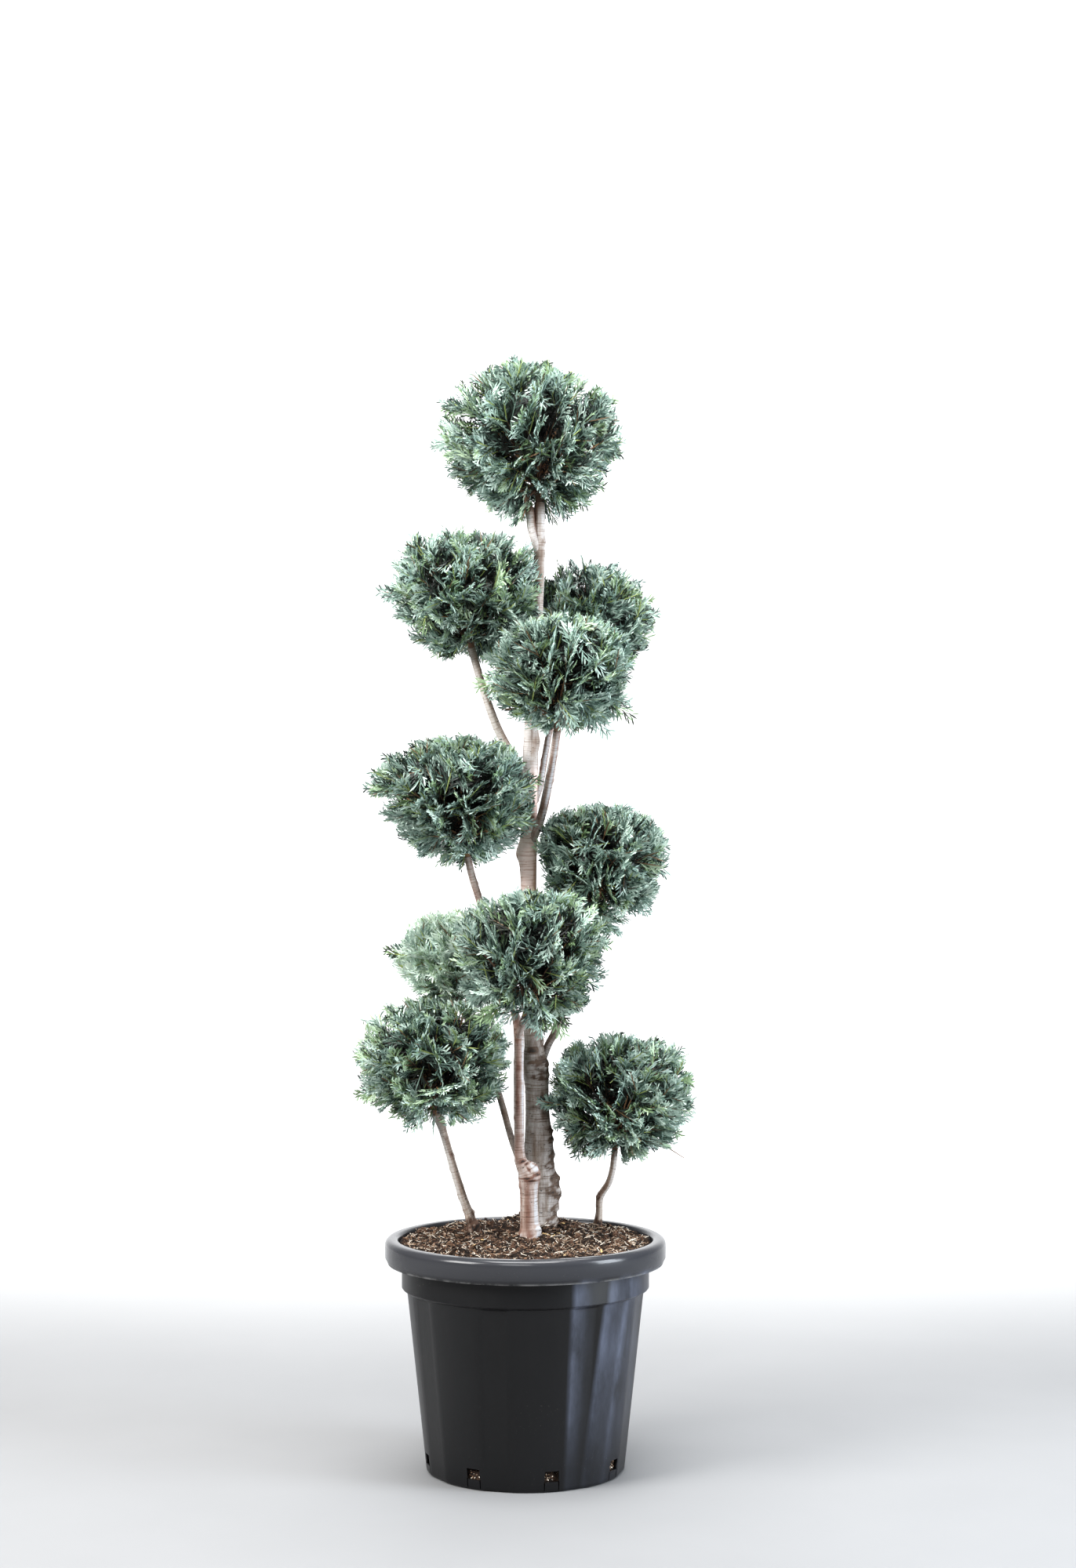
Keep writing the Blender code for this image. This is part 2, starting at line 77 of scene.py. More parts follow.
# Studio: lights of place, aim, width, height, watts and tint
WORLD_STRENGTH = 0.06
LIGHTS = (
    ("left_softbox", (-2.3, -1.5, 2.1), (0, 0, 0.9), 1.4, 1.5, 150, (1.0, 0.99, 0.97)),
    ("right_softbox", (2.5, -0.9, 1.1), (0, 0, 0.7), 1.0, 2.0, 130, (0.86, 0.93, 1.0)),
    ("top_softbox", (0.0, -0.4, 3.2), (0, 0, 0.8), 1.8, 1.8, 175, (1, 1, 1)),
    ("front_softbox", (-0.5, -3.4, 2.6), (0, 0, 0.9), 1.6, 1.2, 60, (1, 1, 1)),
    ("backdrop_light", (0.0, 2.2, 4.6), (0, 5.0, 1.2), 3.0, 3.0, 300, (1, 1, 1)),
)
STAGE_REACH = 9
STAGE_TOP = 8
SWEEP = 2.5

# Pot
POT_SIDES = 200
POT_PHASE = radians(21)
PANEL_PITCH = radians(45)
PANEL_WIDTH = radians(18)
POT_WALL = 0.0026
FLOOR_THICKNESS = 0.004
FOOT_RADIUS = 0.1365
BASE_RADIUS = 0.1405
BASE_CHAMFER = 0.006
BODY_TOP_RADIUS = 0.1675
BODY_TOP = 0.255
COLLAR_RADIUS = 0.175
COLLAR_BOTTOM = 0.259
COLLAR_TOP = 0.2955
RIM_RADIUS = 0.199
RIM_TOP = 0.328
MOUTH_RADIUS = 0.1795
RIM_ROUND = 0.009
MOUTH_ROUND = 0.0055
SLOT_COUNT = 8
SLOT_PHASE = radians(15)
SLOT_WIDTH = 0.020
SLOT_BOTTOM = 0.0145
SLOT_HEIGHT = 0.015
PLASTIC_SHARP_ANGLE = radians(32)

# Potting mix. A draw under the first of CHIP_KINDS makes a bark chip, one under the second a
# fibre, and any other a pale flake.
SOIL_LEVEL = 0.326
EDGE_DROP = 0.003
SOIL_RINGS = 60
SOIL_SIDES = 120
CHIP_COUNT = 8000
CHIP_SEED = 77
CHIP_KINDS = 0.42, 0.996
CHIP_ODDS = (0.44, 0.38, 0.18)
FIBRE_ODDS = (0.40, 0.33, 0.27)
SLOT_CHIPS = 70
CHIP_COLOURS = (
    (0.13, 0.085, 0.06), (0.29, 0.20, 0.145), (0.47, 0.36, 0.28), (0.66, 0.58, 0.50),
    (0.90, 0.86, 0.80), (0.82, 0.68, 0.47),
)

# Limbs: stations of x, y, z and radius, and swellings of height, azimuth, size and spread.
# Lengths are in millimetres, and the potting mix lies at 326. Azimuths are in degrees, from
# the front to the right.
Limb = namedtuple("Limb", "name carrier bark stations swellings")
LIMBS = tuple(
    Limb(name, carrier, bark + "_bark", [tuple(map(mm, station)) for station in stations],
         [(mm(z), radians(turn), size, mm(spread)) for z, turn, size, spread in swellings])
    for name, carrier, bark, stations, *swellings in (
        ("trunk", None, "grey", (
            (19.5, 60, 326, 26), (19.5, 59.5, 350, 22), (19, 58.5, 400, 20.5),
            (17.5, 56, 450, 19.5), (16.5, 54, 517, 16.6), (14.5, 51, 566, 18),
            (11.5, 48, 600, 13.8), (6.6, 40, 712, 12.4), (4.4, 33, 824, 11.2), (3.6, 30, 875, 12.5),
            (5.8, 27.5, 925, 11), (7, 23, 1005, 10.8), (10, 19, 1090, 9.6), (17, 13, 1213, 7.7),
            (19.4, 10, 1286, 8), (20, 7, 1330, 7.8), (20.5, 4, 1370, 6.8),
        ), (385, 95, 0.42, 30), (455, 80, 0.15, 25), (568, -60, 0.25, 14), (872, -90, 0.35, 12),
           (1030, 90, 0.3, 10)),
        ("front_stem", None, "brown", (
            (6.7, -6, 326, 16.5), (5.8, -6, 340, 14), (5, -6, 385, 12.5), (3.5, -6.2, 418, 14.2),
            (-7.5, -8, 442, 7.8), (-9.1, -10, 500, 7.2), (-9.3, -15, 560, 7.1),
            (-9.8, -12, 620, 6.8), (-18, 2, 655, 5.6), (-40.2, 13, 719, 5.4), (-64.6, 6, 803, 5.2),
            (-75.5, -2, 839, 5), (-81.9, -10, 868, 5),
        ), (420, 60, 0.3, 12)),
        ("left_stem", None, "grey", (
            (-71.5, 43, 326, 8.5), (-80.9, 38, 355, 6.6), (-94.2, 30, 394, 6),
            (-114.8, 12, 468, 5.5), (-120.5, 6, 489, 6.6), (-126.2, 0.5, 503, 5.6),
        )),
        ("right_stem", None, "grey", (
            (103.3, 100, 326, 6.8), (106.3, 94, 347, 5.2), (107.8, 88, 371, 5.2),
            (120.3, 77, 395, 4.8), (125.9, 71, 417, 4.6), (128.4, 68, 442, 4.6),
        )),
        ("left_leader", "trunk", "grey", (
            (19.5, 8, 1296, 5), (10, 1, 1326, 5.6), (7, -1, 1341, 5.4), (6, -3, 1362, 5.2),
        )),
        ("bough_upper_left", "trunk", "grey", (
            (6.5, 24, 975, 6.8), (-18, 18, 1010, 6.2), (-40, 9, 1050, 6), (-61.1, 0, 1109, 5.5),
            (-76.4, -8, 1163, 5.2),
        )),
        ("bough_upper_front", "trunk", "brown", (
            (5, 28, 880, 6.2), (21, 13, 919, 6.2), (31.8, -8, 966, 6), (38.4, -32, 1003, 5.7),
            (44.5, -56, 1044, 5.4),
        )),
        ("bough_upper_right", "trunk", "brown", (
            (6, 27, 930, 4.8), (20, 32, 965, 4.8), (27.8, 38, 1010, 4.6), (37, 45, 1052, 4.4),
            (59.4, 61, 1096, 4.2), (81.2, 76, 1126, 4),
        )),
        ("bough_mid_right", "trunk", "grey", (
            (14, 51, 545, 6), (30.2, 54, 590, 5.5), (44.8, 54, 621, 5.2), (67.3, 50, 689, 5),
            (85, 35, 766, 5),
        )),
        ("bough_centre", "front_stem", "brown", (
            (-10.6, -12.5, 610, 5.2), (-6, -30, 628, 5), (0, -52, 645, 4.8),
        )),
        ("bough_centre_left", "front_stem", "grey", (
            (-8, -8, 436, 5), (-20, 2, 468, 4.7), (-40.5, 34, 535, 4.5), (-61.1, 54, 587, 4.5),
            (-94.5, 64, 652, 4.4),
        )),
    ))
LIMB_SIDES = 36
RING_SPACING = 0.0022

# Burls: height, azimuth, rise, half height and half angle, in the same units. A burl that
# rises less than BURL_SIZE, in metres, is only a dark knot, where a twig was pruned off. More
# such knots are dealt out at random.
BURLS = {
    "trunk": (
        (474, 92, 3.2, 5, 34), (459, 68, 2, 4, 26), (437, 95, 4, 5.5, 36), (424, 60, 2.4, 5, 28),
        (404, 88, 4.6, 6.2, 34), (389, 62, 3, 5, 26), (380, 100, 5.4, 7, 36), (361, 84, 4, 5.5, 30),
        (344, 70, 3.4, 6, 34), (338, 120, 4, 7, 40), (566, 52, 3.4, 6, 44), (552, 40, 2.8, 4, 50),
        (590, -8, 1.4, 4.5, 30), (600, 85, 2.2, 6, 34), (1315, 80, 1.6, 5.5, 50),
        (1298, 60, 1, 4, 50), (1350, -80, 1.2, 30, 60),
    ),
    "front_stem": (
        (425, 48, 2.6, 5, 34), (413, 40, 1.8, 3.5, 60), (430, 30, 2, 2.2, 13),
        (422.5, 70, 2, 2.4, 13), (420, 38, 1.7, 2, 12), (428.5, 58, 1.8, 2, 13),
        (338, 55, 4.8, 8, 34), (334, -60, 3, 6, 34), (332, 0, 2.4, 5, 26), (401, -70, 1.4, 4, 40),
    ),
    "left_stem": (
        (349, -40, 3.4, 4.5, 44), (338, 50, 4.4, 5.5, 44), (335, -80, 3.8, 5, 40),
        (356, 90, 2.4, 4, 40), (334, 0, 3, 4, 30), (362, -70, 1.6, 3, 40),
    ),
    "right_stem": ((373, -60, 2, 4, 50), (334, 40, 2.2, 5, 50)),
    "left_leader": ((1345, 85, 1.4, 30, 60), (1360, -50, 2, 5.5, 60)),
}
BURL_SIZE = 0.0015
KNOT_SPACING = 0.016

# Marks on the bark, some of them painted light and shade: height, azimuth, tone from -1 for
# brown to 1 for white, half height and half angle, in the same units
MARKS_AND_PAINTED_LIGHT = {
    "trunk": (
        # Painted shade and light on the trunk: the marks at 1290 to 1355 paint shade on its left,
        # where the left leader leaves it, and light on its right; the pale marks at 830 to 1000 on
        # its left and the brown one at 830 on its right paint its middle lit on the left and shaded
        # on the right; the mark at 600 all round paints the shade under the centre pompon.
        (1355, -62, -0.9, 35, 40), (1350, 35, 0.6, 50, 45), (1290, -75, -0.7, 30, 36),
        (1368, 0, -0.8, 6, 180), (1040, 4, -0.9, 30, 16), (1040, -48, 0.6, 45, 30),
        (931, -66, -1, 5, 26), (590, -8, -1, 3, 26), (575, 40, -0.6, 6, 60),
        (830, -20, 1.1, 60, 65), (900, -40, 0.8, 45, 60), (1000, -20, 0.5, 50, 60),
        (830, 78, -1, 50, 26), (450, 0, -0.3, 110, 180), (600, 0, -0.5, 34, 180),
        (440, 85, -0.4, 80, 34), (355, 30, -0.25, 40, 60),
    ),
    "front_stem": (
        (370, -70, 0.1, 50, 30), (368, -2, -0.75, 44, 22), (366, 50, 0.95, 44, 20),
        (540, -14, -0.8, 90, 32), (540, 51, 0.95, 90, 21), (540, -78, 0.3, 90, 16),
        # The mark at 437 paints shade in the notch above the pruned stub.
        (424, 36, 0.95, 8.5, 60), (437, 24, -2.4, 2.4, 34), (416.5, 56, -1.6, 1.4, 26),
        (430.5, 66, -1.9, 1.6, 16), (421, 78, -1.8, 1.6, 14), (418.5, 40, -1.6, 1.4, 18),
        (431.5, 32, -1.7, 1.4, 16), (425, 18, -1.5, 3, 7), (410, 20, -0.8, 1.2, 70),
        (332, -60, 0.4, 10, 40), (336, 55, 0.8, 12, 34), (420, -70, 0.3, 10, 30),
        (414.5, -30, -1.5, 1.2, 60), (760, -20, -0.7, 80, 50), (760, 50, 0.5, 80, 40),
    ),
    "left_stem": (
        # The pale mark at 425 on the left and the brown one at 420 on the right paint the stem's
        # light and shade.
        (338, 0, -0.8, 14, 180), (420, 42, -0.7, 80, 22), (425, -38, 1.1, 75, 42),
        (455, 70, 0.5, 30, 20),
    ),
    "right_stem": (
        (410, 34, 1, 50, 40), (380, -38, -0.6, 50, 24), (333, 0, -0.7, 8, 180),
        (355, -70, 0.7, 20, 24),
    ),
    # The brown mark at 1340 paints shade where the leader meets the trunk, and the pale one at 1330
    # light on its left.
    "left_leader": ((1340, 80, -0.9, 30, 36), (1330, -20, 0.8, 30, 50), (1362, 0, -0.8, 6, 180)),
    # On the next two boughs, the pale marks at 22 and 12 degrees and the brown ones at -24 and -66
    # paint light on their right and shade on their left.
    "bough_upper_front": (
        (1000, -24, -0.5, 60, 14), (985, 22, 0.8, 70, 34), (985, -70, 0.6, 70, 24),
    ),
    "bough_upper_right": ((985, 12, 0.7, 70, 44), (985, -66, -0.4, 70, 22)),
    "bough_centre_left": ((530, 30, -0.8, 120, 120),),
    "bough_mid_right": ((610, -30, -0.7, 70, 110),),
    # The pale mark on the left of this bough and the brown one on its right paint its light and
    # shade.
    "bough_upper_left": ((1060, -35, 1.1, 110, 46), (1060, 55, -0.4, 110, 24)),
}

# Bark as sRGB: pale, tan, red, dark, brown and white. The grey one gets painted light in one
# zone, where the pompons shade the trunk: a warm tone added, of heights and strengths.
BARKS = {
    "grey_bark": (
        (0.75, 0.74, 0.73), (0.58, 0.54, 0.50), (0.43, 0.36, 0.31), (0.17, 0.15, 0.13),
        (0.33, 0.26, 0.21), (0.80, 0.80, 0.80)),
    "brown_bark": (
        (0.70, 0.655, 0.63), (0.57, 0.475, 0.43), (0.45, 0.33, 0.275), (0.15, 0.12, 0.10),
        (0.44, 0.31, 0.26), (0.74, 0.74, 0.75)),
    "tan_bark": (
        (0.72, 0.68, 0.64), (0.58, 0.505, 0.45), (0.44, 0.355, 0.30), (0.16, 0.13, 0.11),
        (0.34, 0.25, 0.20), (0.78, 0.76, 0.74)),
}
TAN_LIMBS = ("left_stem", "right_stem", "bough_upper_left")
LIT_ZONE_BARK = "grey_bark"
PAINTED_LIGHT_ZONE = ((0.70, 0), (0.80, 1), (0.96, 1), (1.0, 0.4))
PAINTED_LIGHT_TINT = (0.62, 0.45, 0.38)

# A pompon is centred where it is widest. Its half width, half depth, height above and
# depth below are the reach of its sprays. The higher its dome and skirt are, the more
# its upper and lower part look like a box than like a ball. Its lift is painted light: it
# makes the whole pompon paler, or darker below 0, to even out how the lamps reach it, and
# above 1 its palest segments take the palest painted highlight and it gets no inner shade.
WARM_SHARE = 0.20
BOUGHLETS = 70
Pompon = namedtuple(
    "Pompon",
    "name limb centre half_width half_depth above below dome skirt lift warm_share boughlets",
    defaults=(WARM_SHARE, BOUGHLETS))
POMPONS = tuple(
    Pompon(name, limb, tuple(map(mm, centre)), *map(mm, reach), *looks)
    for name, limb, centre, reach, *looks in (
        ("top", "trunk", (3, 0, 1474), (131, 114, 95, 129), 2.1, 1.9, -0.22, 0.2, 84),
        ("upper_left", "bough_upper_left", (-83.5, -20, 1240), (105.5, 92, 90, 92), 2.9, 2, -0.14),
        ("upper_right", "bough_upper_right", (89, 86, 1200), (92, 78, 96, 86), 2.1, 2, -0.6),
        ("upper_front", "bough_upper_front", (49, -82, 1135), (98, 80, 70, 86), 2.6, 2.3, 0.12),
        ("mid_left", "front_stem", (-100, -35, 960), (111, 94, 77, 98), 2.4, 1.8, -0.12, 0.2, 76),
        ("mid_right", "bough_mid_right", (106, 12, 875), (91, 86, 66, 118), 2.6, 1.8, 0.15),
        ("centre", "bough_centre", (11, -82, 747), (104, 82, 75, 118), 2.6, 2, 0.15),
        ("centre_left", "bough_centre_left", (-107, 66, 720), (79, 80, 67, 76), 2.1, 2, 2.3, 0.4),
        ("lower_left", "left_stem", (-130, -12, 593), (105, 96, 78, 104), 2.3, 2.1, 0.12, 0.3),
        ("lower_right", "right_stem", (137, 70, 530), (103, 92, 79, 100), 2.6, 2.3, 0.12),
    ))
POMPON_SEED = 500
LEAN_SHARE = 0.8
LEANS = {"mid_right": (0.010, 0.0, 0.0)}
LIMB_ENDS = {limb.name: limb.stations[-1] for limb in LIMBS}

# Sprays: the flat sprays on each boughlet of a pompon, and the branchlets and leafy strands
# of a spray. Lengths of branchlets and strands are shares of the spray's length.
BOUGHLET_SHARES = (0.82, 0.95)
SPRAY_SHARES = (0.36, 0.47, 0.57, 0.65, 0.72, 0.79, 0.85, 0.90, 0.95, 1.0, 1.0)
SPRAY_LENGTH = (0.036, 0.058)
SHORTEST_SPRAY = 0.012
SPRAY_ANGLE = radians(33)
UPRIGHT = 0.6
BRANCHLETS = 9
BRANCHLET_LENGTH = 0.36
BRANCHLET_ANGLE = radians(31)
STRAND_SPACING = 0.085
STRAND_LENGTH = (0.14, 0.44)
STRAND_ANGLE = radians(20)
TWIST = 0.20
STRAND_TWIST = 0.35
STRAND_LIFT = 0.022
STRAND_ODDS = (0.30, 0.42, 0.28)
SPIKE_REACH = (0.10, 0.06, 0.01)
HALF_WIDTHS = (0.0009, 0.0011, 0.00115)
FOOT_SHARE = 0.62
WIDEST = 0.62
TEMPLATE_COUNT = 12
TEMPLATE_SEED = 100
PATH_STEPS = 12
SPRAY_ROOM = 0.12
ROOM_HALVINGS = 12
FULL_LIMIT = 0.98
SIDE_LIMITS = (0.97, 1.16)
TOP_LIMITS = (0.96, 1.08)
WIDEST_REACH = 0.2455
SKIRT_COUNT = 34
SKIRT_RISE = (0.010, 0.042)
SKIRT_OUT = (0.004, 0.022)
SKIRT_SLOPE = (-0.75, 0.15)
SKIRT_LENGTH = (0.034, 0.058)
FILL_COUNT = 100
FILL_DEPTHS = (0.34, 0.80)
FILL_LENGTH = (0.040, 0.060)
FILL_SETBACK = 0.02

# A blade's corners: its foot, its widest place and its tip
BLADE_FACES = (0, 1, 2), (0, 2, 4), (4, 2, 3)

# Clearances: of sprays to limbs, and to the end of the limb, which stays in view but for
# its covered steps
LIMB_CLEARANCE = 0.0012
SAMPLE_SPACING = 0.004
NEARBY = 0.02
NECK_STEPS = 8
NECK_DEPTH = 1.1
NECK_MARGIN = 0.004
COVERED_STEPS = {"trunk": 4, "left_leader": 3, "bough_centre": 8}

# Twigs and bare wood
TWIG_SIDES = 4
TWIG_THICK = (0.0018, 0.0028)
TWIG_THIN = 0.0005
TWIG_COLOURS = ((0.30, 0.23, 0.18), (0.47, 0.36, 0.29), (0.60, 0.46, 0.34))
WOOD_SIDES = 9
STEM_STEPS = 9
STEM_SHARES = (0.004, 0.55)
STEM_FIT = 0.96
STEM_TIP = 0.0022

# Foliage colours as sRGB, from dark to light: most sprays are cool, the others warm. The
# darker levels also carry painted shade deep in a pompon, the inner colour is near-black
# painted shade and the palest is a painted highlight.
LEVELS = 4
COOL = ((0.12, 0.17, 0.145), (0.30, 0.39, 0.35), (0.52, 0.62, 0.575), (0.73, 0.81, 0.765))
WARM = ((0.12, 0.165, 0.095), (0.31, 0.40, 0.26), (0.51, 0.62, 0.46), (0.68, 0.77, 0.65))
EXTRA = ((0.055, 0.070, 0.048), (0.56, 0.62, 0.36), (0.46, 0.36, 0.26), (0.88, 0.94, 0.89))
INNER_SHADE, RIB_GREEN, RIB_BROWN, PALEST_HIGHLIGHT = 8, 9, 10, 11
LEVEL_SHARES = (0.0, 0.18, 0.44, 0.38)
ODD_ODDS = (0.12, 0.76, 0.12)
RIB_ODDS = (0.38, 0.17, 0.45)
# Depths in a pompon under which segments take painted shade: the near-black inner colour, and one
# level darker for each shaded depth
INNER_SHADE_DEPTH = 0.71
SHADED_DEPTHS = (0.80, 0.885)
RISING = 0.45

# Sprays that stand out of a pompon: start and length in millimetres, and heading. Each is a
# fan of some sprays.
STRAY_TURNS = (-0.26, 0.0, 0.24)
STRAY_SCALES = (0.72, 1.0, 0.80)
STRAYS = {
    "top": (
        (-8, -20, 1538, 34, -0.3, -0.1, 1), (24, -10, 1540, 26, 0.15, -0.1, 1),
        (92, -10, 1492, 40, 1, -0.1, 0.65), (50, -30, 1520, 30, 0.6, -0.1, 1),
        (-85, -20, 1492, 40, -1, -0.1, 0.55), (92, -10, 1450, 46, 1, -0.1, -0.25),
        (0, -2, 1392, 54, -0.95, -0.1, -0.4), (-4, -8, 1388, 44, -0.8, -0.1, -0.62),
        (-2, 20, 1386, 50, -0.8, 0.2, -0.66), (36, -6, 1388, 46, 0.8, -0.1, -0.66),
        (40, 14, 1392, 54, 0.92, 0.2, -0.45), (34, 24, 1384, 44, 0.62, 0.3, -0.75),
    ),
    "upper_left": ((-165, -30, 1236, 42, -1, -0.1, 0.12),),
    "upper_right": ((152, 50, 1206, 40, 1, -0.2, 0.28),),
    "upper_front": (
        (-12, -88, 1118, 56, -1, 0, -0.22), (98, -90, 1095, 60, 0.9, -0.1, -0.5),
        (75, -100, 1085, 60, 0.7, -0.1, -0.75), (45, -125, 1085, 52, 0.35, -0.2, -0.8),
    ),
    "mid_left": ((-185, -35, 963, 40, -1, -0.1, 0.05), (-24, -70, 962, 46, 1, -0.1, 0.4)),
    "mid_right": ((70, -50, 795, 42, 0.1, -0.2, -0.95),),
    "centre": (
        (36, -80, 668, 50, 0.35, -0.2, -0.95), (18, -90, 660, 40, 0.1, -0.2, -0.95),
        (-30, -80, 668, 44, -0.8, -0.1, -0.6),
    ),
    "centre_left": ((-165, 50, 728, 36, -1, -0.2, 0.1),),
    "lower_left": ((-204, -20, 580, 41, -1, -0.1, 0.2), (-200, -20, 545, 40, -0.9, -0.1, -0.35)),
    "lower_right": (
        (50, 30, 512, 36, -1, -0.4, 0.25), (206, 60, 536, 39, 1, -0.1, 0.15),
        (98, 50, 478, 50, -0.5, -0.2, -0.8),
    ),
}

# Bare wood in a pompon: the thick and the thin radius, and the path
BARE_WOOD = {
    "top": (0.0046, 0.0016, (
        (0.006, -0.003, 1.3605), (-0.001, -0.006, 1.378), (-0.016, -0.012, 1.405))),
    "lower_right": (0.0011, 0.0005, (
        (0.165, 0.055, 0.466), (0.198, 0.05, 0.452), (0.227, 0.045, 0.434))),
}


def linear(value):
    """One sRGB channel as linear light."""
    return value / 12.92 if value <= 0.04045 else ((value + 0.055) / 1.055) ** 2.4


def colour(srgb):
    return (*map(linear, srgb), 1)


def greys(*stops):
    """Ramp stops of a position and a grey."""
    return [(position, (grey, grey, grey)) for position, grey in stops]


class Shader:
    """A Principled material, with short ways to add procedural nodes."""

    def __init__(self, name, srgb, roughness, specular):
        self.material = bpy.data.materials.new(name)
        self.material.use_nodes = True
        self.nodes = self.material.node_tree.nodes
        self.links = self.material.node_tree.links
        self.main = self.nodes["Principled BSDF"]
        self.main.inputs["Base Color"].default_value = colour(srgb)
        self.main.inputs["Roughness"].default_value = roughness
        self.main.inputs["Specular IOR Level"].default_value = specular

    def feed(self, socket, value):
        """Links a socket to another, or sets it: a tuple is a colour."""
        if isinstance(value, bpy.types.NodeSocket):
            self.links.new(value, socket)
        else:
            socket.default_value = colour(value) if isinstance(value, tuple) else value

    def add(self, kind, inputs=None, **settings):
        node = self.nodes.new(kind)
        for key, value in settings.items():
            setattr(node, key, value)
        for key, value in (inputs or {}).items():
            self.feed(node.inputs[key], value)
        return node

    def noise(self, across, upright, detail, roughness, attribute=None):
        """Noise of two scales in the space of a mesh attribute or of the object."""
        if attribute:
            place = self.add("ShaderNodeAttribute", attribute_name=attribute).outputs["Vector"]
        else:
            place = self.add("ShaderNodeTexCoord").outputs["Object"]
        inputs = {"Scale": [across, across, upright], "Vector": place}
        place = self.add("ShaderNodeMapping", inputs).outputs["Vector"]
        inputs = {"Scale": 1, "Detail": detail, "Roughness": roughness, "Vector": place}
        return self.add("ShaderNodeTexNoise", inputs).outputs["Fac"]

    def ramp(self, value, stops):
        """A colour ramp: stops are a position and an sRGB colour."""
        node = self.add("ShaderNodeValToRGB", {"Fac": value})
        elements = node.color_ramp.elements
        while len(elements) < len(stops):
            elements.new(0.5)
        for element, (position, srgb) in zip(elements, stops):
            element.position = position
            element.color = colour(srgb)
        return node.outputs["Color"]

    def fade(self, value, low, high, strength=1):
        """Black where a value is low, and a grey of some strength where it is high."""
        return self.ramp(value, greys((low, 0), (high, strength)))

    def mix(self, factor, one, other, blend="MIX"):
        inputs = {0: factor, 6: one, 7: other}
        return self.add("ShaderNodeMix", inputs, data_type="RGBA", blend_type=blend).outputs[2]

    def math(self, operation, one, other):
        return self.add("ShaderNodeMath", {0: one, 1: other}, operation=operation).outputs[0]

    def coordinate(self, axis):
        """One coordinate of the place on the object, in metres."""
        place = self.add("ShaderNodeTexCoord").outputs["Object"]
        return self.add("ShaderNodeSeparateXYZ", {0: place}).outputs[axis]

    def turn(self):
        """The direction from the upright axis: 0.5 at the front, 0.75 at the right."""
        forward = self.math("MULTIPLY", self.coordinate("Y"), -1.0)
        turn = self.math("ARCTAN2", self.coordinate("X"), forward)
        return self.math("ADD", self.math("MULTIPLY", turn, 1 / tau), 0.5)

    def paint(self, tone):
        self.feed(self.main.inputs["Base Color"], tone)

    def bump(self, height, strength, distance):
        inputs = {"Strength": strength, "Distance": distance, "Height": height}
        self.feed(self.main.inputs["Normal"], self.add("ShaderNodeBump", inputs).outputs["Normal"])


def bark_material(name, pale, tan, red, dark, brown, white):
    """Smooth bark: streaks along the limb, broken rings across it, and marks of place, some of
    them painted light and shade.
    """
    shader = Shader(name, pale, 0.72, 0.35)
    streaks = shader.noise(95, 9, 4, 0.6, "grain")
    base = shader.ramp(streaks, ((0.34, red), (0.47, tan), (0.62, pale)))
    patches = shader.noise(26, 22, 3, 0.6, "grain")
    blotched = shader.mix(shader.fade(patches, 0.45, 0.68), base, pale)
    fine = shader.noise(170, 60, 4, 0.7, "grain")
    # The tone carries the marks and burls, some of them painted light and shade: low tones brown
    # the bark and then darken it as pits and painted shade, high ones whiten it as peeled bark and
    # painted light.
    tone = shader.add("ShaderNodeAttribute", attribute_name="tone").outputs["Fac"]
    grain = shader.math("MULTIPLY", shader.math("SUBTRACT", fine, 0.5), 0.6)
    worn = shader.math("ADD", tone, grain)
    browned_and_shaded = shader.mix(shader.ramp(worn, greys((0.06, 1), (0.46, 0))), blotched, brown)
    whitened_and_lit = shader.mix(shader.fade(worn, 0.60, 0.84), browned_and_shaded, white)
    pits_and_shade = shader.ramp(shader.math("ADD", worn, 0.5), greys((0.28, 1), (0.42, 0)))
    pitted_and_shaded = shader.mix(pits_and_shade, whitened_and_lit, dark)
    rings = shader.noise(26, 520, 5, 0.7, "grain")
    ringed = shader.ramp(rings, (
        (0.36, (0.68, 0.62, 0.58)), (0.45, (0.93, 0.91, 0.90)), (0.56, (1, 1, 1))))
    marked = shader.mix(1.0, pitted_and_shaded, ringed, "MULTIPLY")
    specks = shader.noise(160, 460, 2, 0.5, "grain")
    speckled = shader.mix(shader.fade(specks, 0.66, 0.73), marked, dark)
    # Painted light: a warm tone added to the grey trunk over the zone of heights where pompons
    # shade it.
    if name == LIT_ZONE_BARK:
        zone = shader.ramp(shader.coordinate("Z"), greys(*PAINTED_LIGHT_ZONE))
        speckled = shader.mix(zone, speckled, PAINTED_LIGHT_TINT, "ADD")
    shader.paint(speckled)
    shader.bump(rings, 0.40, 0.0010)
    return shader.material


def pot_painted_sheen(shader):
    """Where a bluish sheen is painted on the plastic, standing in for the reflection of the lit
    floor and the right lamp: on the right, in bands that its flats part.
    """
    turn = shader.turn()
    edge = shader.ramp(turn, greys((0.561, 0), (0.565, 0.8), (0.588, 0.3), (0.600, 0)))
    below = shader.math("SUBTRACT", BODY_TOP, shader.coordinate("Z"))
    slant = shader.math("ADD", turn, shader.math("MULTIPLY", below, 0.08))
    side = shader.ramp(slant, greys(
        (0.611, 0), (0.616, 0.76), (0.632, 0.58), (0.648, 0.60), (0.657, 0.85), (0.672, 0.58),
        (0.74, 0.44), (0.86, 0)))
    broken = shader.ramp(shader.noise(16, 6, 5, 0.65), greys((0.32, 0.35), (0.62, 1)))
    fading = shader.ramp(shader.coordinate("Z"), greys((0.03, 0.42), (0.19, 1)))
    bands = shader.mix(1.0, shader.mix(1.0, edge, side, "ADD"), broken, "MULTIPLY")
    return shader.mix(1.0, bands, fading, "MULTIPLY")


